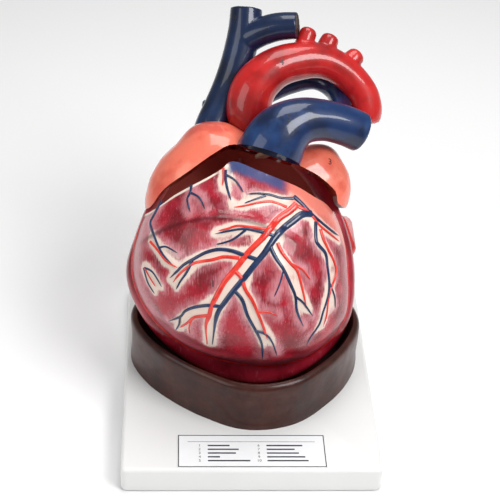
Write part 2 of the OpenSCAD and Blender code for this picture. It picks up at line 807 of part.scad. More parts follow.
module atrium_shell(side) {
    difference() {
        intersection() {
            union() {
                difference() {
                    if (side < 0) right_atrium_form(0); else left_atrium_form(0);
                    if (side < 0) right_atrium_form(-atrium_wall, 6, 28);
                    else left_atrium_form(-atrium_wall, 6, 28);
                }
                intersection() {
                    if (side < 0) right_atrium_form(-1, 6, 28);
                    else left_atrium_form(-1, 6, 28);
                    atrium_bosses();
                }
            }
            above(part_line, fit / 2);
        }
        vessel_pin_holes();
        aorta_form(fit);
        pulmonary_form(fit);
    }
}

module right_atrium() color([0.96, 0.55, 0.46]) in_heart() moulded() difference() {
    atrium_shell(-1);
    cava_form(fit);
}

module left_atrium() color([0.96, 0.55, 0.46]) in_heart() moulded() difference() {
    atrium_shell(1);
    right_atrium_form(fit);
}

// The aorta's centre line, from its root over the arch, with shares of its full radius
aorta_path = [
    [38, 104, -6, 0.86], [27, 128, -8, 0.92], [12, 150, -4, 1.0], [7, 168, 2, 1.02],
    [13, 189, 6, 1.0], [32, 207, 6, 0.92], [57, 216, 2, 0.86], [84, 217, -4, 0.78],
    [108, 206, -10, 0.72], [125, 188, -16, 0.73], [130, 172, -20, 0.78], [129, 162, -22, 0.78]
];
// The arch's three branches: foot, tip, share of the branch radius
arch_branches = [
    [[60, 222, 0, 0.42], [64, 236, -2, 0.42], [68, 246, -4, 0.40]],
    [[83, 222, -4, 0.44], [88, 234, -6, 0.44], [91, 240, -7, 0.42]],
    [[105, 207, -10, 0.46], [114, 219, -11, 0.46], [119, 224, -12, 0.42]]
];
branch_nose = 6;

function aorta_stations(grow) =
    smooth([for (s = spots(aorta_path)) [s[0], s[1], s[2], s[3] * aorta_d / 2 + grow]], 2);

function branch_stations(list, grow) =
    [for (s = spots(list)) [s[0], s[1], s[2], s[3] * aorta_d / 2 + grow]];

module aorta_form(grow) {
    loft(tube_rings(aorta_stations(grow), 16, 0, 0, 7 + grow));
    for (branch = arch_branches)
        loft(tube_rings(branch_stations(branch, grow), 10, 0, 0, branch_nose + grow));
}

module aorta_bore() {
    loft(tube_rings(aorta_stations(-vessel_wall), 8, 0, 6));
    for (branch = arch_branches)
        loft(tube_rings(branch_stations(branch, -vessel_wall), 6));
}

module aorta() color([0.75, 0.13, 0.13]) in_heart() moulded() difference() {
    intersection() {
        aorta_form(0);
        above(part_line, fit / 2);
    }
    aorta_bore();
    cava_form(fit);
    pulmonary_form(fit);
}

// The pulmonary artery's centre line, from the cover's edge to its left end
pulmonary_path = [
    [22, 100, 40, 1.62], [26, 118, 44, 1.62], [38, 138, 48, 1.48], [57, 150, 48, 1.18],
    [80, 152, 42, 1.02], [102, 148, 34, 1.0], [119, 142, 26, 1.0]
];

// Its right branch, which passes behind the aorta
right_pulmonary_path = [
    [92, 152, 32, 0.58], [103, 170, -8, 0.54], [100, 190, -34, 0.54], [80, 203, -44, 0.54],
    [52, 198, -50, 0.54], [24, 186, -54, 0.54], [-8, 176, -56, 0.54], [-36, 170, -58, 0.52]
];

function pulmonary_stations(path, grow) =
    smooth([for (s = spots(path)) [s[0], s[1], s[2], s[3] * pulmonary_artery_d / 2 + grow]],
        2);

module pulmonary_form(grow) {
    loft(tube_rings(pulmonary_stations(pulmonary_path, grow), 18, 0, 4, 5 + grow, 0.86));
    loft(tube_rings(pulmonary_stations(right_pulmonary_path, grow), 10, 0, 0, 4 + grow, 1,
        [0, 1, 0]));
}

module pulmonary_bore() {
    loft(tube_rings(pulmonary_stations(pulmonary_path, -vessel_wall), 12, 0, 8, 0, 0.86));
    loft(tube_rings(pulmonary_stations(right_pulmonary_path, -vessel_wall), 6, 0, 0, 0, 1,
        [0, 1, 0]));
}

module pulmonary_artery() color([0.1, 0.16, 0.4]) in_heart() moulded() difference() {
    intersection() {
        pulmonary_form(0);
        above(part_line, fit / 2);
    }
    pulmonary_bore();
}

// The superior vena cava, and the vein that joins it from the right
cava_path = [
    [-34, 132, -16, 1.15], [-30, 150, -16, 1.05], [-21, 172, -16, 1.0], [-12, 194, -16, 1.0],
    [-4, 220, -14, 1.0], [2, 248, -12, 1.0], [4, 271, -12, 0.98]
];
side_vein_path = [
    [2, 238, -11, 0.9], [18, 246, -4, 0.88], [36, 251, 2, 0.86], [56, 252, 8, 0.80]
];

function cava_stations(list, grow) =
    smooth([for (s = spots(list)) [s[0], s[1], s[2], s[3] * vena_cava_d / 2 + grow]], 2);

module cava_form(grow) {
    loft(tube_rings(cava_stations(cava_path, grow), 15));
    loft(tube_rings(cava_stations(side_vein_path, grow), 14));
}

module superior_vena_cava() color([0.08, 0.12, 0.32]) in_heart() moulded() difference() {
    cava_form(0);
    for (path = [cava_path, side_vein_path])
        loft(tube_rings(past(cava_stations(path, -vessel_wall), vessel_wall), 10, 0, 4));
    for (path = [cava_path, side_vein_path]) vein_end(path) translate([0, 0, -cap_t])
        cylinder(r = cap_r(path) + fit, h = cap_t + vessel_wall, $fn = 20);
}

cap_t = 2.5;

// Radius of the cap let into a vein's open end
function cap_r(path) = path[len(path) - 1][3] * vena_cava_d / 2 - vessel_wall / 2;

// Place of a vein's open end, with Z out of it
module vein_end(path) {
    list = cava_stations(path, 0);
    tip = list[len(list) - 1];
    from = list[len(list) - 2];
    dir = unit([tip[0] - from[0], tip[1] - from[1], tip[2] - from[2]]);
    translate([tip[0], tip[1], tip[2]]) rotate([0, acos(dir[2]), atan2(dir[1], dir[0])])
        children();
}

module vein_end_caps() color([0.16, 0.08, 0.07]) in_heart()
    for (path = [cava_path, side_vein_path]) vein_end(path)
        translate([0, 0, -cap_t + fit]) cylinder(r = cap_r(path), h = cap_t - fit);

// Three cusps across a vessel's root, parted by slits
module cusps(r, thick) {
    difference() {
        rotate_extrude($fn = 24) polygon([
            [0, 0], [r * 0.5, thick * 0.5], [r, thick * 2.5], [r, thick * 4.5],
            [r * 0.9, thick * 4.5], [r * 0.5, thick * 1.6], [0, thick]
        ]);
        for (a = [30, 150, 270]) rotate([0, 0, a]) translate([1, -0.4, -1])
            cube([r * 0.8, 0.8, 5 * thick + 2]);
    }
}

module aortic_valve() color([0.93, 0.85, 0.75]) in_heart() {
    from = spot(38, 104, -6);
    dir = unit(spot(27, 128, -8) - from);
    translate(from + dir * 16) rotate([0, acos(dir[2]), atan2(dir[1], dir[0])])
        moulded() cusps(0.9 * aorta_d / 2 - vessel_wall - 1.4, 1.6);
}

module pulmonary_valve() color([0.93, 0.85, 0.75]) in_heart() moulded() intersection() {
    translate(spot(24.5, 122, 44)) rotate([-80, 0, -14])
        scale([1, 0.86, 1]) cusps(1.6 * pulmonary_artery_d / 2, 1.8);
    loft(tube_rings(pulmonary_stations(pulmonary_path, -vessel_wall - fit), 12, 0, 8, 0,
        0.86));
}

// -----------------------------------------------------------------------------------------

base_plate();
rubber_feet();
base_label();
cradle();
cradle_screws();
rear_body();
septum();
valve_wall();
tricuspid_valve();
mitral_valve();
right_papillary_muscles();
left_papillary_muscles();
left_pulmonary_veins();
right_pulmonary_veins();
inferior_vena_cava();
cover_pins();
vessel_pins();
ventricle_cover();
right_atrium();
left_atrium();
aorta();
pulmonary_artery();
superior_vena_cava();
vein_end_caps();
aortic_valve();
pulmonary_valve();
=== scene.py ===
# %% [markdown]
# # A human heart anatomy model
#
# This lesson dresses a classroom heart: painted, lacquered casts of a heart that comes apart,
# in a brown cradle on a white base plate. The CAD parts give every size and place. Here each
# part gets the soft, hand-finished form and the paint of the real cast.
#
# The heart leans back, so its parts are drawn in a frame of their own, in millimetres:
# u runs across, v runs up the heart's long axis, and w comes out of its front. One matrix
# carries a finished piece from there to its place in metres.

import math

import bmesh
import bpy
from mathutils import Matrix, Vector, bvhtree, kdtree, noise


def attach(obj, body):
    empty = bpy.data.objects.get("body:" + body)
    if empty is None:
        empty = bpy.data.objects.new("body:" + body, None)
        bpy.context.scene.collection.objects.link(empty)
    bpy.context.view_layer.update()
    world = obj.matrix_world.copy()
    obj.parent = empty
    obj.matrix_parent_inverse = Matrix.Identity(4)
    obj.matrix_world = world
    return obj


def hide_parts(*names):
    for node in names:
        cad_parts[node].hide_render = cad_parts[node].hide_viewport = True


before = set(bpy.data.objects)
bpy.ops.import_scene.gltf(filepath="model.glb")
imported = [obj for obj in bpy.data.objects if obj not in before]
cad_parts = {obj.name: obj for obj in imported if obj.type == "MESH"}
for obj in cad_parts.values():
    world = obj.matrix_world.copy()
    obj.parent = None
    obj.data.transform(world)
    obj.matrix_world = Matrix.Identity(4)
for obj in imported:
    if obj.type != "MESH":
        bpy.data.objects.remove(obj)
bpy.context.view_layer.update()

# %% The heart's own frame
MM = 0.001
PLATE = Vector((-0.0036, -0.026, 0))
HEART_POS = PLATE + Vector((-0.0107, 0.0185, 0.143))
LEAN = math.radians(38)
HEART = (Matrix.Translation(HEART_POS) @ Matrix.Rotation(math.pi / 2 - LEAN, 4, "X")
         @ Matrix.Scale(MM, 4))
STAND = Matrix.Translation(PLATE) @ Matrix.Scale(MM, 4)
print("up the heart:", (HEART.to_3x3() @ Vector((0, 1, 0))).normalized())

# %% [markdown]
# ## Curves and outlines
#
# The real cast was modelled by hand, so its outlines are free curves. Each outline here is
# a list of radii round a centre, and a smooth curve runs through them. The same few numbers
# are in the CAD part, which keeps the two alike.

# %% Smooth curves
def through(p, q, r, s, t):
    """Point at share t between q and r on the smooth curve through p, q, r and s."""
    return (q * 2 + (r - p) * t + (p * 2 - q * 5 + r * 4 - s) * t ** 2
            + (q * 3 - p - r * 3 + s) * t ** 3) / 2


def outline_at(outline, turn):
    """Radius of a closed outline at an angle in radians."""
    n = len(outline)
    place = turn / math.tau * n % n
    i = int(place)
    return through(outline[i - 1], outline[i % n], outline[(i + 1) % n],
                   outline[(i + 2) % n], place - i)


def smooth(points, steps):
    """Smooth list of points through the given ones."""
    pts = [Vector(p) for p in points]
    last = len(pts) - 1
    line = [through(pts[max(0, i - 1)], pts[i], pts[i + 1], pts[min(last, i + 2)], k / steps)
            for i in range(last) for k in range(steps)]
    return line + [pts[last]]


def ease(x):
    x = min(1, max(0, x))
    return x * x * (3 - 2 * x)


# %% The outlines
DEPTH = 0.90625
HALF = 118
MID = Vector((0, -5))
RISE, REAR, SEAM_STEP = 92, 82, 16
POWER = 2.2
FIT = 0.3
BODY = [1.02, 1.03, 1.09, 1.21, 1.31, 1.23, 1.06, 0.985,
        1.00, 0.94, 0.90, 0.90, 0.95, 1.01, 1.04, 1.05]
COVER = [0.94, 0.96, 1.02, 1.15, 1.25, 1.18, 1.03, 0.965,
         0.935, 0.86, 0.795, 0.757, 0.77, 0.85, 0.94, 0.985]
CRADLE = [1.00, 0.98, 0.98, 0.98, 0.98, 0.98, 0.98, 0.985,
          0.985, 0.92, 0.88, 0.91, 1.00, 1.01, 0.96, 0.965]
RIGHT_ATRIUM = [0.80, 0.80, 0.80, 0.83, 0.90, 0.94, 0.88, 0.93,
                1.03, 1.12, 1.05, 1.00, 0.95, 0.90, 0.85, 0.80]
LEFT_ATRIUM = [1.00, 0.97, 0.92, 0.70, 0.62, 0.60, 0.60, 0.65,
               0.70, 0.72, 0.75, 0.80, 0.85, 0.90, 0.95, 0.97]
PART_LINE = [(-150, 44), (-102, 60), (-92, 64), (-79, 81), (-54, 99), (-29, 117), (-10, 126),
             (19, 120), (48, 110), (63, 103), (78, 95), (94, 81), (102, 66), (150, 64)]
COVER_LINE = [(-150, 40), (-94, 58), (-68, 75), (-38, 91), (-23, 100), (-11, 108), (16, 98),
              (50, 85), (69, 75), (85, 67), (99, 52), (108, 32), (150, 10)]
print("cover is", round(HALF * (outline_at(COVER, 0) + outline_at(COVER, math.pi))), "mm wide")

# %% [markdown]
# ## Helpers for meshes
#
# Most parts of a cast heart are swollen, closed forms that a mould maker then parts along
# a line. The same order works in Blender: a **bmesh** operator makes a simple closed form,
# its points move to where the form has them, and Boolean modifiers part and hollow it.
# Three starting forms are enough: a ball for the swollen parts, a stack of rings for vessels
# and walls, and a prism for straight cuts.

# %% From a bmesh to an object
def to_object(bm, name):
    """Object of a bmesh, with every face turned outwards."""
    bmesh.ops.recalc_face_normals(bm, faces=bm.faces[:])
    mesh = bpy.data.meshes.new(name)
    bm.to_mesh(mesh)
    bm.free()
    obj = bpy.data.objects.new(name, mesh)
    bpy.context.scene.collection.objects.link(obj)
    return obj


def ball(name, place, rings, sides):
    """Closed form from a ball: place says where a point at an angle and a height goes."""
    bm = bmesh.new()
    bmesh.ops.create_uvsphere(bm, u_segments=sides, v_segments=rings, radius=1)
    for v in bm.verts:
        v.co = place(math.atan2(v.co.y, v.co.x), math.asin(max(-1, min(1, v.co.z))))
    return to_object(bm, name)


def stack(name, rings, sides):
    """Closed form of one disc that is extruded from ring to ring. A ring is a function
    that gives the place of a point at an angle."""
    bm = bmesh.new()
    bmesh.ops.create_circle(bm, cap_ends=True, segments=sides, radius=1)
    turn = bm.verts.layers.float.new("turn")
    for v in bm.verts:
        v[turn] = math.atan2(v.co.y, v.co.x)
    bm.faces.ensure_lookup_table()
    face = bm.faces[0]
    for v in face.verts:
        v.co = rings[0](v[turn])
    for ring in rings[1:]:
        made = bmesh.ops.extrude_face_region(bm, geom=[face, *face.edges])["geom"]
        face = next(g for g in made if isinstance(g, bmesh.types.BMFace))
        for v in face.verts:
            v.co = ring(v[turn])
    return to_object(bm, name)


def hoop(centre, side, deep, radius, flat=1.0):
    """Ring round a point, as a function that gives its point at an angle."""
    return lambda a: (centre + side * radius * math.cos(a)
                      + deep * radius * flat * math.sin(a))


def prism(name, points, low, high):
    """Straight block over a flat outline, between two levels."""
    bm = bmesh.new()
    face = bm.faces.new([bm.verts.new((p[0], p[1], low)) for p in points])
    made = bmesh.ops.extrude_face_region(bm, geom=[face])["geom"]
    bmesh.ops.translate(bm, vec=(0, 0, high - low),
                        verts=[g for g in made if isinstance(g, bmesh.types.BMVert)])
    return to_object(bm, name)


# %% Modifiers that are applied at once
def apply_all(obj):
    """Keeps what the modifiers make, and drops them."""
    bpy.context.view_layer.update()
    deps = bpy.context.evaluated_depsgraph_get()
    mesh = bpy.data.meshes.new_from_object(obj.evaluated_get(deps))
    obj.modifiers.clear()
    obj.data = mesh
    return obj


def open_edges(obj):
    """Number of edges that don't have exactly two faces."""
    bm = bmesh.new()
    bm.from_mesh(obj.data)
    count = sum(1 for e in bm.edges if not e.is_manifold)
    bm.free()
    return count


def combine(obj, how, *tools):
    """Joins to, cuts from or keeps within an object each of the tools, which are used up."""
    for tool in tools:
        if open_edges(tool) or open_edges(obj):
            print("not closed:", obj.name, open_edges(obj), tool.name, open_edges(tool))
        cut = obj.modifiers.new("cut", "BOOLEAN")
        cut.operation, cut.solver, cut.object = how, "MANIFOLD", tool
        apply_all(obj)
        bpy.data.objects.remove(tool)
    return obj


def join(objs, name):
    """Makes several objects one, without fusing them."""
    with bpy.context.temp_override(active_object=objs[0], selected_editable_objects=objs):
        bpy.ops.object.join()
    objs[0].name = name
    return objs[0]


def fuse(objs, voxel, rounds):
    """Fuses closed forms into one skin, and softens the corners between them."""
    first = join(objs, objs[0].name) if len(objs) > 1 else objs[0]
    skin = first.modifiers.new("skin", "REMESH")
    skin.mode, skin.voxel_size = "VOXEL", voxel
    soft = first.modifiers.new("soft", "SMOOTH")
    soft.factor, soft.iterations = 0.5, rounds
    return apply_all(first)


def place(obj, body, material, slot, node=None, matrix=HEART, sharp=38):
    """Sets a finished piece in its place, gives it its paint and says what it rides on."""
    obj.data.transform(matrix)
    obj.data.shade_smooth()
    obj.data.set_sharp_from_angle(angle=math.radians(sharp))
    obj.data.materials.clear()
    obj.data.materials.append(material)
    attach(obj, body)
    if node:
        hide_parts(node)
    print(obj.name, len(obj.data.polygons), "faces")
    return obj


# %% [markdown]
# ## A way to write paint as sums
#
# A painted finish is a sum of layers: a base colour, a mask for where the fat is pale,
# a fine grain. Written as nodes by hand, that is a long list. The small class below wraps
# one socket, and its + - and * add the Math nodes, so that a mask reads like a formula.
# Colours never go through Math nodes, which would turn them grey: they go through Mix.

# %% Sockets with signs
class Wire:
    """One output socket of a material's tree."""

    def __init__(self, paint, socket):
        self.paint, self.socket = paint, socket

    def sum(self, how, *values):
        return self.paint.node("ShaderNodeMath", {"operation": how}, dict(enumerate(values)))

    def __add__(self, other):
        return self.sum("ADD", self, other)

    def __sub__(self, other):
        return self.sum("SUBTRACT", self, other)

    def __rsub__(self, other):
        return self.sum("SUBTRACT", other, self)

    def __mul__(self, other):
        return self.sum("MULTIPLY", self, other)

    __radd__, __rmul__ = __add__, __mul__

    def step(self, low, high):
        """Soft step from 0 at low to 1 at high."""
        return self.paint.node("ShaderNodeMapRange", {"interpolation_type": "SMOOTHSTEP"},
                               {"Value": self, "From Min": low, "From Max": high})


# %% A material and its nodes
def colour(r, g, b):
    """Colour from the 0 to 255 values of a picture."""
    return [(c / 255 / 12.92 if c < 11 else ((c / 255 + 0.055) / 1.055) ** 2.4)
            for c in (r, g, b)] + [1]


class Paint:
    """A material with a lacquered shader, and one method that adds any node."""

    def __init__(self, name, roughness=0.35, coat=0.0, coat_roughness=0.06, metallic=0.0):
        self.material = bpy.data.materials.new(name)
        self.material.use_nodes = True
        self.tree = self.material.node_tree
        self.shader = self.tree.nodes["Principled BSDF"]
        self.set(Roughness=roughness, Metallic=metallic)
        self.set(**{"Coat Weight": coat, "Coat Roughness": coat_roughness})

    def node(self, kind, settings=None, inputs=None, out=0):
        made = self.tree.nodes.new(kind)
        for key, value in (settings or {}).items():
            if key == "stops":
                ramp = made.color_ramp.elements
                while len(ramp) < len(value):
                    ramp.new(0.5)
                for stop, (at, shade) in zip(ramp, value):
                    stop.position, stop.color = at, shade
            else:
                setattr(made, key, value)
        for key, value in (inputs or {}).items():
            self.join(made.inputs[key], value)
        return Wire(self, made.outputs[out])

    def join(self, socket, value):
        if isinstance(value, Wire):
            self.tree.links.new(value.socket, socket)
        else:
            socket.default_value = value

    def set(self, **values):
        for key, value in values.items():
            self.join(self.shader.inputs[key], value)

    def base(self, shade):
        self.set(**{"Base Color": shade})

    def mix(self, mask, under, over):
        """Colour over laid on colour under where the mask is 1."""
        return self.node("ShaderNodeMix", {"data_type": "RGBA"},
                         {0: mask, 6: under, 7: over}, out=2)

    def spots(self, size, detail, rough=0.5):
        """Soft noise with spots of the given size in millimetres."""
        return self.node("ShaderNodeTexNoise", {},
                         {"Vector": self.here(), "Scale": 1 / (size * MM), "Detail": detail,
                          "Roughness": rough})

    def fibres(self, where, degrees, scale):
        """Noise stretched along one direction."""
        along = self.node("ShaderNodeMapping", {"vector_type": "POINT"},
                          {"Vector": where, "Rotation": (0, 0, math.radians(degrees)),
                           "Scale": scale})
        return self.node("ShaderNodeTexNoise", {},
                         {"Vector": along, "Scale": 1, "Detail": 4, "Roughness": 0.7})

    def here(self):
        return self.node("ShaderNodeTexCoord", out=3)

    def carried(self, name):
        """Number that each point of the mesh carries under this name."""
        return self.node("ShaderNodeAttribute", {"attribute_name": name}, out=2)

    def bump(self, height, depth):
        """Bump of the given depth in millimetres."""
        self.set(Normal=self.node("ShaderNodeBump", {}, {
            "Height": height, "Distance": depth * MM, "Strength": 1.0}))


print("colour of the base plate:", [round(c, 3) for c in colour(226, 226, 226)])

# %% [markdown]
# ## Finishes of the base and the cradle
#
# The base plate is white styrene with a soft gloss. The cradle is dark brown lacquer over
# a mottled undercoat: reddish where the coat is thin, nearly black where it pools. Both get
# a faint unevenness in gloss and height, because a real moulding is never a perfect mirror.

# %% Base, label and feet
def white_plastic():
    p = Paint("base_white", roughness=0.34, coat=0.15, coat_roughness=0.2)
    cloud = p.spots(60, 3)
    p.base(p.mix(cloud, colour(226, 226, 225), colour(233, 233, 232)))
    p.set(Roughness=0.30 + 0.12 * p.spots(14, 3))
    p.bump(p.spots(5, 4), 0.03)
    return p.material


def card(name, low, high, rough):
    p = Paint(name, roughness=rough)
    p.base(p.mix(p.spots(9, 4), colour(*low), colour(*high)))
    p.bump(p.spots(0.8, 3), 0.01)
    return p.material


def dull(name, low, high, size, depth, rough):
    p = Paint(name, roughness=rough)
    p.base(p.mix(p.spots(size, 4), colour(*low), colour(*high)))
    p.set(Roughness=rough - 0.1 + 0.2 * p.spots(size * 0.6, 3))
    p.bump(p.spots(size * 0.3, 4), depth)
    return p.material


base_white = white_plastic()
label_white = card("label_card", (233, 234, 236), (240, 241, 242), 0.4)
label_ink = card("label_ink", (28, 30, 38), (38, 40, 50), 0.45)
rubber = dull("rubber", (24, 24, 25), (36, 36, 37), 3, 0.05, 0.75)


def steel(name):
    p = Paint(name, roughness=0.3, metallic=1.0)
    p.base(p.mix(p.spots(1.5, 3), colour(150, 152, 156), colour(190, 191, 194)))
    p.set(Roughness=0.22 + 0.2 * p.spots(0.7, 4))
    p.bump(p.spots(0.4, 3), 0.006)
    return p.material


steel_bright = steel("bright_steel")


# %% Cradle lacquer
def brown_lacquer():
    p = Paint("cradle_lacquer", roughness=0.32, coat=0.22, coat_roughness=0.09)
    p.set(**{"Specular IOR Level": 0.25})
    cloud = p.spots(38, 5, rough=0.62)
    thin = p.spots(13, 6, rough=0.7)
    tone = p.node("ShaderNodeValToRGB",
                  {"stops": [(0.34, colour(36, 13, 9)), (0.50, colour(60, 25, 17)),
                             (0.68, colour(80, 42, 32))]},
                  {0: cloud * 0.6 + thin * 0.4})
    red = p.spots(24, 4, rough=0.6).step(0.56, 0.70) * 0.5
    p.base(p.mix(red, tone, colour(62, 16, 9)))
    p.set(Roughness=0.24 + 0.3 * p.spots(18, 4))
    p.bump(p.spots(16, 3) + 0.12 * p.spots(1.6, 2), 0.5)
    return p.material


cradle_brown = brown_lacquer()

# %% [markdown]
# ## Finishes of the heart
#
# Every cast of the heart is sprayed in one body colour, shaded by hand with an airbrush and
# sealed with clear gloss lacquer. So each finish below is a body colour, a slow drift towards
# a darker and a paler shade, and a coat with its own sharp reflections. Muscle also shows
# fine pale fibres, which are noise stretched along one direction by a Mapping node.

# %% Lacquered casts
def to_heart(p):
    """Object coordinates turned into the heart's own frame, in millimetres."""
    return p.node("ShaderNodeMapping", {"vector_type": "TEXTURE"},
                  {"Vector": p.here(), "Location": HEART_POS,
                   "Rotation": (math.pi / 2 - LEAN, 0, 0), "Scale": (MM, MM, MM)})


GLOSS = 0.36


def lacquer(name, dark, body, pale, size, waves, coat=0.6):
    """Sprayed body colour with airbrushed shading, under clear lacquer."""
    dark, body, pale = colour(*dark), colour(*body), colour(*pale)
    p = Paint(name, roughness=GLOSS, coat=coat, coat_roughness=0.05)
    p.set(**{"Specular IOR Level": 0.3})
    drift = p.spots(size, 3, rough=0.55)
    shade = p.mix(drift.step(0.36, 0.56), dark, body)
    shade = p.mix(p.spots(size * 0.7, 4).step(0.52, 0.75) * 0.55, shade, pale)
    fine = p.spots(1.3, 3).step(0.35, 0.7) * 0.10
    p.base(p.mix(fine, shade, pale))
    p.set(Roughness=GLOSS - 0.06 + 0.14 * p.spots(9, 3))
    p.bump(p.spots(22, 3) + 0.05 * p.spots(1.1, 2), waves)
    return p.material


salmon = lacquer("atrium_salmon", (214, 84, 66), (236, 116, 92), (248, 156, 132), 40, 0.5, 0.7)
red_artery = lacquer("aorta_red", (140, 10, 12), (190, 26, 26), (210, 50, 44), 46, 0.4)
navy = lacquer("vein_navy", (2, 14, 38), (6, 28, 62), (22, 52, 94), 40, 0.4)
blue_artery = lacquer("pulmonary_blue", (4, 22, 56), (12, 42, 88), (34, 70, 120), 36, 0.4)
block_red = lacquer("vein_block_red", (160, 22, 26), (202, 48, 48), (224, 86, 78), 22, 0.4)
cream = lacquer("valve_cream", (206, 178, 148), (229, 208, 182), (242, 230, 212), 12, 0.15, 0.5)
flesh = lacquer("chamber_flesh", (168, 66, 62), (206, 102, 90), (230, 146, 128), 26, 0.6, 0.7)
papillary = lacquer("papillary_red", (132, 30, 32), (176, 52, 50), (208, 96, 86), 14, 0.5, 0.7)
cap_brown = dull("vein_end_brown", (40, 16, 14), (62, 28, 22), 5, 0.08, 0.6)
vessel_red = lacquer("coronary_red", (206, 34, 26), (226, 54, 42), (240, 92, 74), 9, 0.1, 0.7)
vessel_blue = lacquer("coronary_blue", (8, 26, 62), (20, 42, 82), (44, 70, 112), 9, 0.1, 0.7)
seam_red = lacquer("seam_red", (176, 12, 18), (206, 26, 30), (222, 70, 66), 10, 0.1, 0.8)
print(len(bpy.data.materials), "materials so far")


# %% Painted muscle of the front cover
def cover_paint():
    p = Paint("cover_muscle", roughness=0.38, coat=0.38, coat_roughness=0.05)
    p.set(**{"Specular IOR Level": 0.3})
    heart = to_heart(p)
    u = p.node("ShaderNodeSeparateXYZ", {}, {0: heart})
    near, pair, edge, top, ledge = (p.carried("from_vessel"), p.carried("between"),
                                    p.carried("from_edge"), p.carried("from_top"),
                                    p.carried("from_ledge"))
    wobble = p.spots(9, 3) * 7 - 3.5
    # muscle: dark in the middle of each field, rosy towards the fat
    field = p.spots(30, 3, rough=0.55)
    muscle = p.mix(field.step(0.38, 0.62), colour(122, 6, 24), colour(172, 22, 44))
    muscle = p.mix(p.spots(17, 4).step(0.52, 0.74) * 0.6, muscle, colour(176, 84, 102))
    # fibres: noise stretched across the fields
    one = p.fibres(heart, -38, (0.9, 0.10, 0.5))
    two = p.fibres(heart, 24, (0.8, 0.11, 0.5))
    which = p.spots(45, 1).step(0.44, 0.56)
    fibre = one * which + two * (1 - which)
    muscle = p.mix(fibre.step(0.54, 0.76) * 0.5, muscle, colour(204, 130, 142))
    muscle = p.mix((1 - fibre.step(0.30, 0.46)) * 0.55, muscle, colour(72, 4, 18))
    # fat: cream along the vessels, feathering out into the muscle along the fibres
    feather = near + wobble - (fibre - 0.5) * 16
    rosy = (1 - feather.step(0, 11)) * (0.45 + 0.55 * p.spots(26, 2).step(0.36, 0.6))
    tone = p.mix(rosy * 0.8, muscle, colour(214, 148, 156))
    fat = 1 - (pair - (fibre - 0.5) * 9 + wobble).step(8, 14)
    tone = p.mix(fat * 0.94, tone, colour(234, 214, 200))
    # painted shade: a dark maroon line just under the step across the cover, where the crease
    # lies in shade; it fades out towards the viewer's right
    shade = ledge.step(-3, 0) * (1 - ledge.step(0.5, 5)) * (1 - (u + wobble).step(30, 55))
    tone = p.mix(shade * 0.65, tone, colour(78, 4, 18))
    # pale fringe along the seam, a blue shade where the pulmonary trunk starts
    left_side = 1 - (u + wobble * 2).step(-70, -30)
    rim = 1 - (edge + wobble * 0.7 + (fibre - 0.5) * 20).step(2, 15)
    tone = p.mix(rim * (0.25 + 0.5 * left_side), tone, colour(206, 124, 136))
    lip = 1 - edge.step(0.8, 3.2)
    tone = p.mix(lip * 0.85, tone, colour(152, 14, 30))
    across = u + wobble
    trunk = ((1 - (top + wobble * 0.6).step(7, 14)) * across.step(-19, -12)
             * (1 - across.step(34, 46)))
    tone = p.mix(trunk * 0.9, tone, colour(40, 72, 122))
    auricle = (1 - (top + wobble).step(12, 26)) * across.step(36, 50)
    tone = p.mix(auricle * 0.85, tone, colour(232, 130, 112))
    crescent = (1 - top.step(1.6, 3)) * (1 - across.step(-30, -22))
    tone = p.mix(crescent, tone, colour(238, 220, 206))
    p.base(tone)
    p.set(Roughness=0.26 + 0.14 * p.spots(9, 3))
    p.bump(fibre * 0.5 + p.spots(20, 3) * 0.8, 0.7)
    return p.material


cover_muscle = cover_paint()


# %% Painted muscle of the rear body
def rear_paint():
    p = Paint("rear_muscle", roughness=0.36, coat=0.5, coat_roughness=0.05)
    heart = to_heart(p)
    field = p.spots(36, 3, rough=0.55)
    muscle = p.mix(field.step(0.38, 0.62), colour(126, 10, 28), colour(166, 30, 50))
    fibre = p.fibres(heart, -30, (0.42, 0.05, 0.2))
    muscle = p.mix(fibre.step(0.55, 0.76) * 0.4, muscle, colour(206, 110, 122))
    pale = p.spots(26, 4, rough=0.6).step(0.58, 0.72) * 0.5
    muscle = p.mix(pale, muscle, colour(206, 130, 142))
    p.base(p.mix(p.carried("inside"), muscle, colour(196, 92, 82)))
    p.set(Roughness=0.26 + 0.14 * p.spots(9, 3))
    p.bump(fibre * 0.6 + p.spots(20, 3), 0.6)
    return p.material


rear_muscle = rear_paint()

# %% [markdown]
# ## The base plate
#
# The plate is a shallow tray, moulded upside down: a white top with soft edges, thin walls,
# and four corner posts that carry rubber feet. It starts as a cube. Bevels round its upright
# corners and its top edge, an inset and an extrusion inwards hollow it from below, and the
# posts are cylinders set into the corners.

# %% Base plate
BASE_W, BASE_D, BASE_H, BASE_WALL = 260, 310, 29, 5
FOOT_INSET = 15


def base_plate():
    bm = bmesh.new()
    low = 2
    bmesh.ops.create_cube(bm, size=1)
    bmesh.ops.scale(bm, vec=(BASE_W, BASE_D, BASE_H - low), verts=bm.verts)
    bmesh.ops.translate(bm, vec=(0, 0, (BASE_H + low) / 2), verts=bm.verts)
    upright = [e for e in bm.edges if abs(e.verts[0].co.z - e.verts[1].co.z) > 1]
    bmesh.ops.bevel(bm, geom=upright, offset=7, segments=8, profile=0.5, affect="EDGES",
                    material=-1)
    rim = [e for e in bm.edges if all(v.co.z > BASE_H - 0.01 for v in e.verts)]
    bmesh.ops.bevel(bm, geom=rim, offset=4, segments=6, profile=0.5, affect="EDGES",
                    material=-1)
    foot = [f for f in bm.faces if f.normal.z < -0.9]
    bmesh.ops.inset_region(bm, faces=foot, thickness=BASE_WALL)
    made = bmesh.ops.extrude_face_region(bm, geom=foot + list(foot[0].edges))["geom"]
    bmesh.ops.translate(bm, vec=(0, 0, BASE_H - BASE_WALL - low),
                        verts=[g for g in made if isinstance(g, bmesh.types.BMVert)])
    return to_object(bm, "Base_plate")


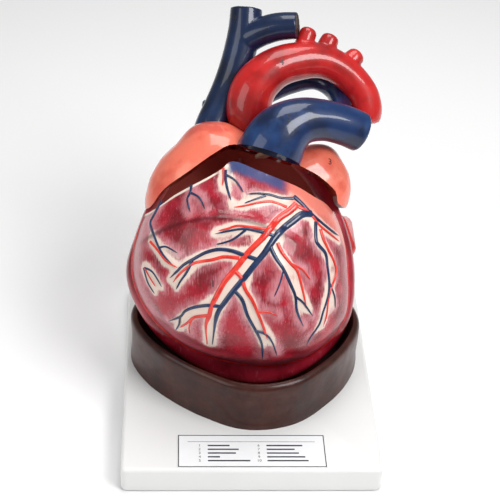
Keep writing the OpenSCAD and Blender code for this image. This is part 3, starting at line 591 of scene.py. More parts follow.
def round_bar(name, at, radius, low, high, sides=48):
    """Upright bar with softly turned ends."""
    soft = min(0.6, radius * 0.2)
    levels = [(low, radius - soft), (low + soft, radius), (high - soft, radius),
              (high, radius - soft)]
    return stack(name, [lambda a, z=z, r=r: Vector((at[0] + r * math.cos(a),
                                                    at[1] + r * math.sin(a), z))
                        for z, r in levels], sides)


base = base_plate()
corners = [(sx * (BASE_W / 2 - FOOT_INSET), sy * (BASE_D / 2 - FOOT_INSET))
           for sx in (-1, 1) for sy in (-1, 1)]
combine(base, "UNION", *[round_bar("post", c, 11, 5, BASE_H - 2) for c in corners])
place(base, "stand", base_white, "base_plastic", "base_plate", STAND)

# %% Rubber feet
feet = [round_bar("foot", c, 9, 0, 5) for c in corners]
place(join(feet, "Rubber_feet"), "stand", rubber, "foot_rubber", "rubber_feet", STAND)

# %% [markdown]
# ## The label
#
# A printed card lies on the front of the plate: a thin frame round two columns of numbers and
# bars. The print is a set of very thin flat pieces just above the card, which keeps its edges
# sharp at any distance.

# %% Label card
LABEL_W, LABEL_D, LABEL_T = 148, 44, 0.6
LABEL_Y = -BASE_D / 2 + 5 + LABEL_D / 2
TOP = BASE_H + LABEL_T


def slab(bm, x, y, w, d, low, high):
    """Adds a flat block to a bmesh, centred on x and y."""
    made = bmesh.ops.create_cube(bm, size=1)["verts"]
    bmesh.ops.scale(bm, vec=(w, d, high - low), verts=made)
    bmesh.ops.translate(bm, vec=(x, y, (low + high) / 2), verts=made)


bm = bmesh.new()
slab(bm, 0, LABEL_Y, LABEL_W, LABEL_D, BASE_H, TOP)
upright = [e for e in bm.edges if abs(e.verts[0].co.z - e.verts[1].co.z) > 0.1]
bmesh.ops.bevel(bm, geom=upright, offset=0.8, segments=4, profile=0.5, affect="EDGES",
                material=-1)
place(to_object(bm, "Label_card"), "stand", label_white, "label_paper", "base_label", STAND)

# %% Frame, bars and numbers
INK = 0.05
bm = bmesh.new()
for side in (-1, 1):
    slab(bm, side * (LABEL_W / 2 - 0.9), LABEL_Y, 1.0, LABEL_D - 0.8, TOP, TOP + INK)
    slab(bm, 0, LABEL_Y + side * (LABEL_D / 2 - 0.9), LABEL_W - 1.8, 1.0, TOP, TOP + INK)
slab(bm, 0, LABEL_Y + 12.4, LABEL_W - 20, 0.5, TOP, TOP + INK)
ROWS = [LABEL_Y + 7.2 - 5.1 * k for k in range(5)]
BARS = [[22, 31, 28, 12, 42], [36, 28, 32, 38, 41]]
for column, left in enumerate((-44, 15)):
    for y, length in zip(ROWS, BARS[column]):
        slab(bm, left + length / 2, y, length, 1.8, TOP, TOP + INK)
place(to_object(bm, "Label_print"), "stand", label_ink, "label_paper", None, STAND)


def numeral(text, size, matrix, thick=0.05):
    """Number as a mesh, centred on its place."""
    curve = bpy.data.curves.new("numeral", "FONT")
    curve.body, curve.size, curve.extrude = text, size, thick
    curve.align_x, curve.align_y, curve.resolution_u = "CENTER", "CENTER", 3
    holder = bpy.data.objects.new("numeral", curve)
    bpy.context.scene.collection.objects.link(holder)
    bpy.context.view_layer.update()
    deps = bpy.context.evaluated_depsgraph_get()
    mesh = bpy.data.meshes.new_from_object(holder.evaluated_get(deps))
    bpy.data.objects.remove(holder)
    mesh.transform(matrix)
    obj = bpy.data.objects.new("Numeral_" + text, mesh)
    bpy.context.scene.collection.objects.link(obj)
    return obj


marks = []
for column, left in enumerate((-52, 7)):
    for k, y in enumerate(ROWS):
        text = str(column * 5 + k + 1)
        marks.append(numeral(text, 4.6, Matrix.Translation((left, y, TOP + INK / 2))))
place(join(marks, "Label_numbers"), "stand", label_ink, "label_paper", None, STAND)

# %% [markdown]
# ## The heart's forms
#
# The front cover is a dome over its outline, flatter than a ball at the crown and steeper
# at the rim. A shallow step crosses it, where the cast follows the base of the ventricles.
# The rear body flares out from the seam and then rounds off to the back. The atria are
# pebbles: a front dome and a deeper rear dome on one outline.

# %% Dome, rear form and pebble
def ledge_line(u):
    """Height of the step's line over a point across the cover."""
    return 56 - 0.004 * (u + 25) ** 2


def crease(u, v):
    """Depth of the cover's step at a point."""
    return (5.5 * ease((v - ledge_line(u) + 5) / 10) * ease((62 - u) / 30)
            * ease((118 - v) / 30))


def front_at(u, v, grow=0):
    """Height of the front surface over a point."""
    a, b = u / (HALF + grow), (v - MID.y) / (HALF + grow)
    r = min(1, math.hypot(a, b) / outline_at(COVER, math.atan2(b, a)))
    return (RISE + grow) * (1 - r ** POWER) ** (1 / POWER) - crease(u, v)


def front_form(grow, rings=80, sides=200, low=1):
    """Closed dome; its underside is a flat floor at level -low."""
    def at(turn, height):
        share = max(0, math.cos(height)) ** (2 / POWER)
        r = (HALF + grow) * outline_at(COVER, turn) * share
        u, v = r * math.cos(turn), MID.y + r * math.sin(turn)
        if height < 0:
            return Vector((u, v, -low * min(1, -height * 8)))
        level = (RISE + grow) * math.sin(height) ** (2 / POWER)
        return Vector((u, v, level - (crease(u, v) if level > 1 else 0)))
    return ball("front", at, rings, sides)


FLARE = [(1, -16), (0.93, -8.8), (0.62, -3.2), (0.02, 0)]
FLARE_TURN = 24
REAR_WALL = 9


def rear_form(grow):
    """Closed rear body: a bowl below the flare, and the flare up to the seam."""
    flare, flare_end = smooth(FLARE, 8), math.radians(FLARE_TURN)

    def at(turn, height):
        body, cover = outline_at(BODY, turn), outline_at(COVER, turn)
        if height <= 0:
            r, level = (HALF + grow) * body * math.cos(height), \
                -SEAM_STEP - (REAR + grow - SEAM_STEP) * math.sin(-height)
        else:
            k = min(len(flare) - 1, height / flare_end * (len(flare) - 1))
            i = min(int(k), len(flare) - 2)
            share, level = flare[i].lerp(flare[i + 1], k - i)
            r = HALF * (cover * (1 - share) + body * share) + grow
            if height > flare_end:
                r *= math.cos((height - flare_end) * 90 / (90 - FLARE_TURN))
        return Vector((r * math.cos(turn), MID.y + r * math.sin(turn), level))
    return ball("rear", at, 90, 240)


def rear_hollow():
    """Room inside the rear body, open at the seam."""
    def at(turn, height):
        share = max(0, math.cos(height)) ** (2 / POWER)
        r = (HALF - REAR_WALL) * outline_at(COVER, turn) * share
        level = 2 * min(1, height * 8) if height > 0 else \
            -(REAR - REAR_WALL) * math.sin(-height) ** (2 / POWER)
        return Vector((r * math.cos(turn), MID.y + r * math.sin(turn), level))
    return ball("hollow", at, 60, 160)


def pebble(outline, mid, half, front, back, grow, lumps):
    """Closed form with a front dome and a rear dome on one outline."""
    def at(turn, height):
        share = max(0, math.cos(height)) ** (2 / POWER)
        deep = (front if height > 0 else back) * DEPTH + grow
        r = (half + grow) * outline_at(outline, turn) * share
        level = math.copysign(deep * abs(math.sin(height)) ** (2 / POWER), height)
        spot = Vector((mid[0] + r * math.cos(turn), mid[1] + r * math.sin(turn), level))
        if lumps:
            centre = Vector((mid[0], mid[1], 0))
            dent = lumps * (0.5 + 0.5 * noise.noise(spot * 0.055))
            spot -= (spot - centre).normalized() * dent
        return spot
    return ball("pebble", at, 96, 192)


def right_atrium_form(grow, lumps=0.0):
    return pebble(RIGHT_ATRIUM, (-20, 85), 75, 60, 74, grow, lumps)


def left_atrium_form(grow, lumps=0.0):
    return pebble(LEFT_ATRIUM, (45, 85), 69, 44, 78, grow, lumps)


# %% Parting lines
def side_of(line, up, shift=0.0, low=-260, high=260):
    """Block above or below a parting line, through the whole heart."""
    pts = [(p.x, p.y + shift) for p in smooth(line, 4)]
    return prism("side", pts + [(200, 400 * up), (-200, 400 * up)], low, high)


def line_at(line, u):
    """Height of a parting line over a point across the heart."""
    for (a, b), (c, d) in zip(line, line[1:]):
        if a <= u < c:
            return b + (d - b) * (u - a) / (c - a)


# %% [markdown]
# ## Vessels as stacks of rings
#
# A great vessel is a bent tube whose width changes along its way. A list of stations gives
# the centre and the radius, the smooth curve runs through them, and a disc is extruded from
# ring to ring. The end of a closed vessel rounds off over a short nose.

# %% Tubes
TUBE_STEPS = 6


def tube(stations, grow=0.0, sides=40, nose=0.0, flat=1.0, ref=(0, 0, 1), lead=0.0,
         beyond=0.0, scale=1.0):
    """Tube along stations of u, v, w and radius share; w is a drawn depth."""
    line = smooth([(s[0], s[1], s[2] * DEPTH, s[3] * scale + grow) for s in stations],
                  TUBE_STEPS)
    spots = [s.to_3d() for s in line]
    ways = [(spots[min(len(spots) - 1, i + 1)] - spots[max(0, i - 1)]).normalized()
            for i in range(len(spots))]
    rings = [(c, d, s[3]) for c, d, s in zip(spots, ways, line)]
    if lead:
        rings.insert(0, (spots[0] - ways[0] * lead, ways[0], line[0][3]))
    if beyond:
        rings.append((spots[-1] + ways[-1] * beyond, ways[-1], line[-1][3]))
    if nose:
        rings += [(spots[-1] + ways[-1] * nose * math.sin(math.radians(a)), ways[-1],
                   line[-1][3] * math.cos(math.radians(a))) for a in range(12, 90, 12)]
    ref = Vector(ref)

    def ring(centre, way, radius):
        side = way.cross(ref).normalized()
        deep = way.cross(side)
        return lambda a: centre + side * radius * math.cos(a) + deep * (radius * flat
                                                                         * math.sin(a))
    return stack("tube", [ring(*r) for r in rings], sides)


AORTA_R, PULMONARY_R, CAVA_R, WALL = 23, 20.5, 17, 3
AORTA = [(38, 104, -6, .86), (27, 128, -8, .92), (12, 150, -4, 1), (7, 168, 2, 1.02),
         (13, 189, 6, 1), (32, 207, 6, .92), (57, 216, 2, .86), (84, 217, -4, .78),
         (108, 206, -10, .72), (125, 188, -16, .73), (130, 172, -20, .78),
         (129, 162, -22, .78)]
BRANCHES = [[(60, 222, 0, .42), (64, 236, -2, .42), (68, 246, -4, .40)],
            [(83, 222, -4, .44), (88, 234, -6, .44), (91, 240, -7, .42)],
            [(105, 207, -10, .46), (114, 219, -11, .46), (119, 224, -12, .42)]]
TRUNK = [(22, 100, 40, 1.62), (26, 118, 44, 1.62), (38, 138, 48, 1.48), (57, 150, 48, 1.18),
         (80, 152, 42, 1.02), (102, 148, 34, 1), (119, 142, 26, 1)]
RIGHT_BRANCH = [(92, 152, 32, .58), (103, 170, -8, .54), (100, 190, -34, .54),
                (80, 203, -44, .54), (52, 198, -50, .54), (24, 186, -54, .54),
                (-8, 176, -56, .54), (-36, 170, -58, .52)]
CAVA = [(-34, 132, -16, 1.15), (-30, 150, -16, 1.05), (-21, 172, -16, 1), (-12, 194, -16, 1),
        (-4, 220, -14, 1), (2, 248, -12, 1), (4, 271, -12, .98)]
SIDE_VEIN = [(2, 238, -11, .9), (18, 246, -4, .88), (36, 251, 2, .86), (56, 252, 8, .80)]


def aorta_forms(grow, nose=7.0, branch_nose=6.0, lead=0.0):
    return [tube(AORTA, grow, nose=nose and nose + grow, scale=AORTA_R, lead=lead)] + [
        tube(b, grow, sides=28, nose=branch_nose and branch_nose + grow, scale=AORTA_R)
        for b in BRANCHES]


def pulmonary_forms(grow, nose=5.0, lead=4.0):
    return [tube(TRUNK, grow, nose=nose and nose + grow, flat=0.86, lead=lead,
                 scale=PULMONARY_R),
            tube(RIGHT_BRANCH, grow, sides=28, nose=nose and nose - 1 + grow, ref=(0, 1, 0),
                 scale=PULMONARY_R)]


def cava_forms(grow, lead=0.0, beyond=0.0):
    return [tube(path, grow, scale=CAVA_R, lead=lead, beyond=beyond)
            for path in (CAVA, SIDE_VEIN)]


# %% [markdown]
# ## The cradle
#
# The cradle is a thick moulded ring with a rolled rim. The heart rests in its back half,
# and the front half is scooped out so that fingers reach under the heart. It is a stack of
# rings with gentle lumps in its skin, then the bowl and the heart's seat are cut from it.

# %% Cradle
CRADLE_W, CRADLE_D, RIM_Z, LIP = 244, 217, 87, 7
CRADLE_X, CRADLE_Y = -4, 10
LUMPS = 1.6


def cradle_ring(inset, z, forward=0.0, lumps=0.0):
    def at(a):
        r = outline_at(CRADLE, a)
        spot = Vector((CRADLE_X + (CRADLE_W / 2 - inset) * r * math.cos(a),
                       CRADLE_Y - forward + (CRADLE_D / 2 - inset) * r * math.sin(a), z))
        dent = lumps * (0.5 + 0.5 * noise.noise(spot * 0.035))
        return spot - Vector((math.cos(a), math.sin(a), 0)) * dent
    return at


wall = [cradle_ring(0, BASE_H + z, lumps=LUMPS * ease(z / 20)) for z in range(0, 51, 3)]
roll = [cradle_ring(LIP * (1 - math.cos(a)), RIM_Z - LIP * (1 - math.sin(a)), lumps=LUMPS)
        for a in [math.radians(d) for d in range(10, 91, 10)]]
cradle = stack("Cradle", wall + roll, 200)
bowl = stack("bowl", [
    cradle_ring(35.7, BASE_H + 11, 12), cradle_ring(31, BASE_H + 13, 12),
    cradle_ring(23.8, BASE_H + 17, 12), cradle_ring(19, BASE_H + 23, 9),
    cradle_ring(16.1, BASE_H + 31, 6), cradle_ring(13.4, RIM_Z - 16, 3),
    cradle_ring(1.6 * LIP, RIM_Z - LIP), cradle_ring(9.4, RIM_Z - 4),
    cradle_ring(1.2 * LIP, RIM_Z - 1.4), cradle_ring(LIP, RIM_Z + 0.1),
    cradle_ring(LIP, RIM_Z + 5)], 200)
seat = rear_form(0.4)
seat.data.transform(STAND.inverted() @ HEART)
combine(cradle, "DIFFERENCE", bowl, seat)
place(cradle, "stand", cradle_brown, "cradle_brown", "cradle", STAND, sharp=50)

# %% [markdown]
# ## The rear body
#
# The rear body is the bowl of the heart: it holds the chambers, and the cover closes it.
# The closed rear form is hollowed, cut along the seam and along the upper parting line, and
# drilled for its pins. Its rim stays flat, because the cover has to sit tight on it.

# %% Rear body
PIN_HOLE, HOLE_DEEP, PIN_INSET = 5.0, 9.3, 4.9
BOSS_R, BOSS_LOW = 4.7, -18
COVER_PINS = [196, 268, 344]
VESSEL_PINS = [Vector((u, line_at(PART_LINE, u), w * DEPTH))
               for u, w in ((-84, -22), (0, -44), (76, -22))]


def cover_pin_at(angle):
    """Middle of a cover pin at the seam."""
    a = math.radians(angle)
    r = outline_at(COVER, a)
    r = HALF * r - PIN_INSET
    return Vector((r * math.cos(a), MID.y + r * math.sin(a), 0))


def bar_along(name, at, way, radius, start, end, sides=32):
    """Round bar from start to end along a direction through a point."""
    side = way.orthogonal().normalized()
    deep = way.cross(side)
    return stack(name, [hoop(at + way * t, side, deep, radius) for t in (start, end)], sides)


UP, OUT = Vector((0, 1, 0)), Vector((0, 0, 1))
VEIN_SPOTS = [(104, 48, -34, 11), (112, 48, -58, 11), (113, 24, -34, 11), (114, 26, -54, 10),
              (88, 36, -40, 10)]


def veins_form(grow):
    """Block at the viewer's right: the hull of five balls."""
    bm = bmesh.new()
    for u, v, w, r in VEIN_SPOTS:
        bmesh.ops.create_icosphere(bm, subdivisions=4, radius=r + grow,
                                   matrix=Matrix.Translation((u, v, w * DEPTH)))
    bmesh.ops.delete(bm, geom=bm.edges, context="EDGES_FACES")
    made = bmesh.ops.convex_hull(bm, input=bm.verts)
    loose = {g for g in made["geom_interior"] + made["geom_unused"]
             if isinstance(g, bmesh.types.BMVert)}
    bmesh.ops.delete(bm, geom=list(loose), context="VERTS")
    return to_object(bm, "veins")


LOWER_CAVA = [(-7, 35, -63, 17), (-10.5, 37, -86, 17), (-14.5, 42.7, -104, 16.3)]
rear = rear_form(0)
posts = [bar_along("post", at, UP, BOSS_R, BOSS_LOW, 18) for at in VESSEL_PINS]
combine(posts[0], "UNION", *posts[1:])
combine(posts[0], "INTERSECT", rear_form(-1))
combine(rear, "DIFFERENCE", rear_hollow())
combine(rear, "UNION", posts[0])
combine(rear, "INTERSECT", side_of(PART_LINE, -1, -FIT / 2, -260, -FIT / 2))
combine(rear, "DIFFERENCE",
        *[bar_along("hole", cover_pin_at(a), OUT, PIN_HOLE / 2, -HOLE_DEEP, 9)
          for a in COVER_PINS],
        *[bar_along("hole", at, UP, PIN_HOLE / 2, -HOLE_DEEP, HOLE_DEEP)
          for at in VESSEL_PINS],
        veins_form(FIT), tube(LOWER_CAVA, FIT, ref=(0, 1, 0)))
rear.name = "Rear_body"


def note(obj, name, measure):
    """Stores one number for each point of a mesh, for its paint to read."""
    layer = obj.data.attributes.new(name, "FLOAT", "POINT")
    layer.data.foreach_set("value", [measure(v.co) for v in obj.data.vertices])


def inside_share(p):
    """1 on the rear body's inner faces, 0 on its outer ones."""
    r = math.hypot(p.x, p.y - MID.y) / HALF / outline_at(COVER, math.atan2(p.y - MID.y, p.x))
    deep = min(1, max(0, -p.z) / (REAR - REAR_WALL))
    inner = (HALF - REAR_WALL) / HALF * max(0, 1 - deep ** POWER) ** (1 / POWER)
    return 1 - ease((r - inner) * HALF / 3 - 0.3)


note(rear, "inside", inside_share)
place(rear, "heart", rear_muscle, "muscle_red", "rear_body")

# %% [markdown]
# ## The front cover
#
# The cover is the model's face: a thin shell, painted with muscle, fat and the coronary
# vessels. The vessels are a list of lines across the dome. A small search tree (a KD tree)
# holds points along all of them, so that any point of the shell can ask how far the next
# vessel is. That distance raises a soft bank of fat under each vessel, and the paint reads it
# again to draw the cream borders.

# %% Lines of the coronary vessels
ARTERIES = [
    (4.0, [(51, 66), (43, 59), (33, 52), (24, 42), (16, 32), (4, 20), (-4, 10), (-11, 1),
           (-20, -10), (-27, -23), (-32, -34), (-34, -43), (-37, -53), (-35, -72)]),
    (2.0, [(52, 64), (63, 59), (67, 54), (75, 45), (89, 35), (96, 30)]),
    (1.9, [(75, 42), (78, 32), (82, 24), (92, 2), (86, -17), (83, -29), (82, -43), (79, -54)]),
    (2.0, [(31, 28), (36, 18), (44, 8), (51, 0), (56, -17), (60, -33)]),
    (2.2, [(-11, 1), (-4, -6), (0, -17), (7, -28), (13, -41), (19, -55), (23, -66)]),
    (1.2, [(13, -39), (23, -39), (32, -43)]),
    (1.6, [(20, 41), (4, 43), (-8, 44), (-18, 41), (-26, 39)]),
    (2.0, [(-6, 13), (-20, 14), (-32, 11), (-44, 9), (-52, 6), (-62, -2), (-69, -11)]),
    (1.9, [(-35, -43), (-48, -45), (-55, -51), (-62, -56)]),
    (1.1, [(-50, -46), (-53, -55), (-52, -62)]),
    (1.3, [(-21, 101), (-21, 92), (-22, 83)]),
    (1.6, [(41, 63), (26, 68), (13, 67), (1, 64), (-11, 62)]),
    (1.5, [(-92, 28), (-84, 19), (-76, 9), (-65, 3)]),
    (1.2, [(-97, 2), (-92, -7), (-86, -16)]),
    (1.2, [(44, 8), (56, 2), (64, -8)]),
]
VEINS = [
    (4.2, [(66, 57), (56, 56), (45, 48), (35, 40), (27, 31), (18, 18), (9, 7), (-1, -6),
           (-11, -18), (-19, -29), (-25, -38), (-28, -49), (-30, -72)]),
    (2.4, [(48, 74), (56, 67), (67, 56), (77, 48), (87, 41), (95, 36)]),
    (2.1, [(70, 49), (70, 32), (73, 26), (80, 18), (82, 5), (84, -10), (83, -23), (78, -39),
           (75, -51), (67, -64), (63, -73)]),
    (2.2, [(24, 24), (29, 14), (37, 2), (44, -12), (49, -24), (51, -38), (58, -53)]),
    (1.1, [(37, 2), (33, -12), (28, -24)]),
    (1.4, [(49, -24), (57, -30), (67, -43)]),
    (2.0, [(-11, -18), (-3, -27), (3, -43), (11, -57), (18, -71), (20, -87)]),
    (1.4, [(11, -57), (21, -61), (28, -69), (34, -83)]),
    (1.8, [(27, 35), (16, 38), (1, 41), (-11, 40), (-29, 36)]),
    (1.3, [(0, 40), (-12, 31), (-23, 27), (-28, 26)]),
    (2.3, [(10, 12), (-2, 16), (-14, 20), (-26, 21), (-38, 18), (-49, 12), (-59, 6),
           (-66, -1), (-72, -7)]),
    (1.5, [(-51, 10), (-56, -1), (-62, -10), (-66, -18)]),
    (2.0, [(-24, -34), (-35, -33), (-48, -35), (-57, -39), (-62, -45), (-73, -50)]),
    (1.2, [(-62, -45), (-63, -53), (-66, -59)]),
    (1.6, [(-52, 84), (-53, 77), (-56, 69), (-53, 57)]),
    (1.3, [(-52, 76), (-44, 71), (-39, 60)]),
    (1.7, [(-19, 99), (-19, 90), (-17, 79), (-14, 69)]),
    (1.3, [(-18, 94), (-9, 88), (-2, 77)]),
    (1.6, [(48, 72), (35, 72), (24, 75), (12, 76), (2, 75)]),
    (1.2, [(20, 74), (9, 70), (-1, 66)]),
    (2.0, [(-81, 69), (-87, 58), (-92, 48), (-91, 41), (-87, 31), (-83, 22), (-78, 14),
           (-70, 6)]),
    (1.3, [(-83, 22), (-76, 23), (-65, 17)]),
    (1.4, [(-98, 2), (-94, -12), (-87, -23)]),
    (1.3, [(-97, 2), (-89, -2), (-80, -16)]),
    (1.2, [(84, -10), (90, -24), (91, -36)]),
]


def on_dome(u, v):
    """Point on the cover and the way out of it there."""
    e = 0.5
    slope_u = (front_at(u + e, v) - front_at(u - e, v)) / (2 * e)
    slope_v = (front_at(u, v + e) - front_at(u, v - e)) / (2 * e)
    return Vector((u, v, front_at(u, v))), Vector((-slope_u, -slope_v, 1)).normalized()


RUNS = [(width, [on_dome(*p)[0] for p in smooth(line, 8)], line)
        for width, line in ARTERIES + VEINS]


def search(runs):
    """Function that gives the distance from the side of the next of these vessels."""
    tree = kdtree.KDTree(sum(len(points) for _, points, _ in runs))
    widths = []
    for width, points, _ in runs:
        for k, point in enumerate(points):
            tree.insert(point, len(widths))
            widths.append(width * (1 - 0.5 * k / len(points)))
    tree.balance()

    def gap(p):
        _, i, far = tree.find(p)
        return far - widths[i]
    return gap


from_artery, from_vein = search(RUNS[:len(ARTERIES)]), search(RUNS[len(ARTERIES):])
print(len(ARTERIES), "arteries and", len(VEINS), "veins")


def from_vessel(p):
    return min(from_artery(p), from_vein(p))


# %% Cover shell
SHELL, BANK_H = 3.4, 0.9
shell = front_form(0, 200, 400)
for v in shell.data.vertices:
    if v.co.z > 1:
        bank = 1 - ease((from_vessel(v.co) + 1) / 7)
        swell = noise.noise(v.co * 0.045) * 0.9
        out = on_dome(v.co.x, v.co.y)[1] if v.co.z > 6 else Vector((0, 0, 0))
        v.co += out * (BANK_H * bank + swell - 0.6)
combine(shell, "DIFFERENCE", front_form(-SHELL, low=3))
bosses = [bar_along("boss", cover_pin_at(a), OUT, BOSS_R, 0, 11) for a in COVER_PINS]
combine(bosses[0], "UNION", *bosses[1:])
combine(bosses[0], "INTERSECT", front_form(-1.13))
combine(shell, "UNION", bosses[0])
combine(shell, "DIFFERENCE",
        *[bar_along("hole", cover_pin_at(a), OUT, PIN_HOLE / 2, -3, HOLE_DEEP)
          for a in COVER_PINS])
combine(shell, "INTERSECT", side_of(COVER_LINE, -1, 0, 0.0, 200))
shell.data.transform(Matrix.Translation((0, 0, FIT / 2)))
shell.name = "Ventricle_cover"


def from_edge(p):
    """Distance in from the cover's rim, across the heart."""
    r = math.hypot(p.x, p.y - MID.y)
    return HALF * outline_at(COVER, math.atan2(p.y - MID.y, p.x)) - r


note(shell, "from_vessel", from_vessel)
note(shell, "between", lambda p: from_artery(p) + from_vein(p))
note(shell, "from_edge", from_edge)
note(shell, "from_top", lambda p: line_at(COVER_LINE, p.x) - p.y)
# from_ledge tells the paint where to lay the painted shade under the cover's step
note(shell, "from_ledge", lambda p: ledge_line(p.x) - 4 - p.y)
place(shell, "cover", cover_muscle, "cover_muscle", "ventricle_cover")

# %% [markdown]
# ## Coronary vessels
#
# On the cast these stand proud by a millimetre or two, so that a student can follow them
# with a finger. Each is a stack of rings along its line, flattened against the dome and
# thinner towards its end. Only the part above the cover is seen; the rest sinks into it.

# %% Coronary tubes
def coronary(width, line):
    pts = smooth(line, 6)
    last = len(pts) - 1
    spots, outs = zip(*[on_dome(*p) for p in pts])
    rings = []
    for i in range(last + 1):
        way = (spots[min(last, i + 1)] - spots[max(0, i - 1)]).normalized()
        t = i / last
        r = width * (1 - 0.5 * t) * (1 - ease((t - 0.86) / 0.14) * 0.75)
        side = way.cross(outs[i]).normalized()
        centre = spots[i] + outs[i] * (BANK_H - 0.35 * r + 0.15)
        rings.append(hoop(centre, side, outs[i], r, 0.62))
    return stack("coronary", rings, 12)


for name, lines, paint in (("Coronary_arteries", ARTERIES, vessel_red),
                           ("Coronary_veins", VEINS, vessel_blue)):
    vessels = join([coronary(width, line) for width, line in lines], name)
    vessels.data.transform(Matrix.Translation((0, 0, FIT / 2)))
    place(vessels, "cover", paint, "cover_muscle", sharp=80)

# %% Bead along the seam
BEAD_R = 1.5


def seam_bead():
    """Rolled lip at the cover's rim, from one end of its upper edge to the other."""
    start, end, last = math.radians(151), math.radians(382), 260
    turns = [start + (end - start) * k / last for k in range(last + 1)]
    spots = [Vector((HALF * outline_at(COVER, a) * math.cos(a),
                     MID.y + HALF * outline_at(COVER, a) * math.sin(a), 1.75)) for a in turns]
    rings = []
    for i, at in enumerate(spots):
        way = (spots[min(last, i + 1)] - spots[max(0, i - 1)]).normalized()
        r = BEAD_R * min(1, 0.3 + 0.05 * min(i, last - i))
        rings.append(hoop(at, way.cross(OUT), OUT, r))
    return stack("Seam_bead", rings, 12)


place(seam_bead(), "cover", seam_red, "cover_muscle", sharp=80)

# %% [markdown]
# ## The atria
#
# The two atria sit on top of the ventricles like a cap, and lift off with the great vessels.
# Each is a hollow pebble, cut along the upper parting line and round every vessel that passes
# through it. Gentle dents keep the skin from looking machined.

# %% Atria
BOSS_HIGH = 14.4


def ribs():
    """Bosses at the atria's lower edge that take the pins."""
    made = []
    for at, (du, dw) in zip(VESSEL_PINS, ((-22, 0), (0, -22), (44, 0))):
        far = Vector((du, 0, dw))
        boss = bar_along("boss", at, UP, BOSS_R, BOSS_LOW, BOSS_HIGH)
        web = bmesh.new()
        side = UP.cross(far.normalized()) * 2.2
        low, high = at + UP * BOSS_LOW, at + UP * BOSS_HIGH
        base_face = web.faces.new([web.verts.new(p) for p in (
            low + side, low - side, low + far - side, low + far + side)])
        up = bmesh.ops.extrude_face_region(web, geom=[base_face])["geom"]
        bmesh.ops.translate(web, vec=high - low,
                            verts=[g for g in up if isinstance(g, bmesh.types.BMVert)])
        made.append(combine(boss, "UNION", to_object(web, "web")))
    return combine(made[0], "UNION", *made[1:])


def atrium(name, form):
    obj = form(0, lumps=LUMPS)
    combine(obj, "DIFFERENCE", form(-SHELL))
    inner = ribs()
    combine(inner, "INTERSECT", form(-1.8))
    combine(obj, "UNION", inner)
    combine(obj, "INTERSECT", side_of(PART_LINE, 1, FIT / 2))
    combine(obj, "DIFFERENCE",
            *[bar_along("hole", at, UP, PIN_HOLE / 2, -HOLE_DEEP, HOLE_DEEP)
              for at in VESSEL_PINS],
            *aorta_forms(FIT), *pulmonary_forms(FIT))
    obj.name = name
    return obj


right = atrium("Right_atrium", right_atrium_form)
combine(right, "DIFFERENCE", *cava_forms(FIT))
place(right, "vessels", salmon, "atrium_salmon", "right_atrium")
left = atrium("Left_atrium", left_atrium_form)
combine(left, "DIFFERENCE", right_atrium_form(FIT))
place(left, "vessels", salmon, "atrium_salmon", "left_atrium")

# %% [markdown]
# ## The great vessels
#
# Aorta, pulmonary artery and superior vena cava are fused from several tubes each. A voxel
# Remesh turns overlapping tubes into one skin, and a Smooth modifier fillets the corners
# between them, as plaster and paint do on the cast. Then the aorta and the pulmonary artery
# are cut to the parting line, and all three are bored out.

# %% Aorta
aorta = fuse(aorta_forms(0), 1.3, 5)
combine(aorta, "INTERSECT", side_of(PART_LINE, 1, FIT / 2))
combine(aorta, "DIFFERENCE", *aorta_forms(-WALL, nose=0, branch_nose=0, lead=8),
        *cava_forms(FIT), *pulmonary_forms(FIT))
aorta.name = "Aorta"
place(aorta, "vessels", red_artery, "artery_red", "aorta")

# %% Pulmonary artery
trunk = fuse(pulmonary_forms(0), 1.2, 5)
combine(trunk, "INTERSECT", side_of(PART_LINE, 1, FIT / 2))
combine(trunk, "DIFFERENCE", *pulmonary_forms(-WALL, nose=0, lead=8))
trunk.name = "Pulmonary_artery"
place(trunk, "vessels", blue_artery, "artery_blue", "pulmonary_artery")

# %% Superior vena cava
CAP_T = 2.5


def vein_end(path):
    """Centre and direction of a vein's open end, and the radius of its cap."""
    line = smooth([(s[0], s[1], s[2] * DEPTH) for s in path], TUBE_STEPS)
    return line[-1], (line[-1] - line[-2]).normalized(), path[-1][3] * CAVA_R - WALL / 2


cava = fuse(cava_forms(0), 1.1, 4)
combine(cava, "DIFFERENCE", *cava_forms(-WALL, lead=4, beyond=WALL))
ends = [vein_end(path) for path in (CAVA, SIDE_VEIN)]
combine(cava, "DIFFERENCE",
        *[bar_along("room", at, way, r + FIT, -CAP_T, WALL) for at, way, r in ends])
cava.name = "Superior_vena_cava"
place(cava, "vessels", navy, "vein_navy", "superior_vena_cava")


# %% Caps in the vein's ends
def cap(at, way, r):
    side = way.orthogonal().normalized()
    deep = way.cross(side)
    steps = [(-CAP_T + FIT, r - 0.3), (-CAP_T + FIT + 0.3, r), (-0.9, r), (-0.5, r - 0.5),
             (-0.7, r * 0.8), (-1.1, r * 0.4)]
    return stack("cap", [hoop(at + way * t, side, deep, s) for t, s in steps], 40)


caps = join([cap(*end) for end in ends], "Vein_end_caps")
place(caps, "vessels", cap_brown, "vein_end_brown", "vein_end_caps")

# %% [markdown]
# ## Small inner parts
#
# The septum, the valve wall, the valves, the papillary muscles and the stubs of the veins
# already have their shape in CAD, with flat facets. A copy of the CAD mesh is merged, skinned
# with a fine voxel Remesh and smoothed, which gives the rounded edges of a cast. The CAD
# part itself is never touched.

# %% Softened copies
def softened(node, body, material, slot, voxel, rounds):
    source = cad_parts[node]
    mesh = source.data.copy()
    mesh.transform(source.matrix_world)
    mesh.transform(HEART.inverted())
    obj = bpy.data.objects.new(node.capitalize(), mesh)
    bpy.context.scene.collection.objects.link(obj)
    bm = bmesh.new()
    bm.from_mesh(mesh)
    bmesh.ops.remove_doubles(bm, verts=bm.verts, dist=0.001)
    bm.to_mesh(mesh)
    bm.free()
    fuse([obj], voxel, rounds)
    place(obj, body, material, slot, node)


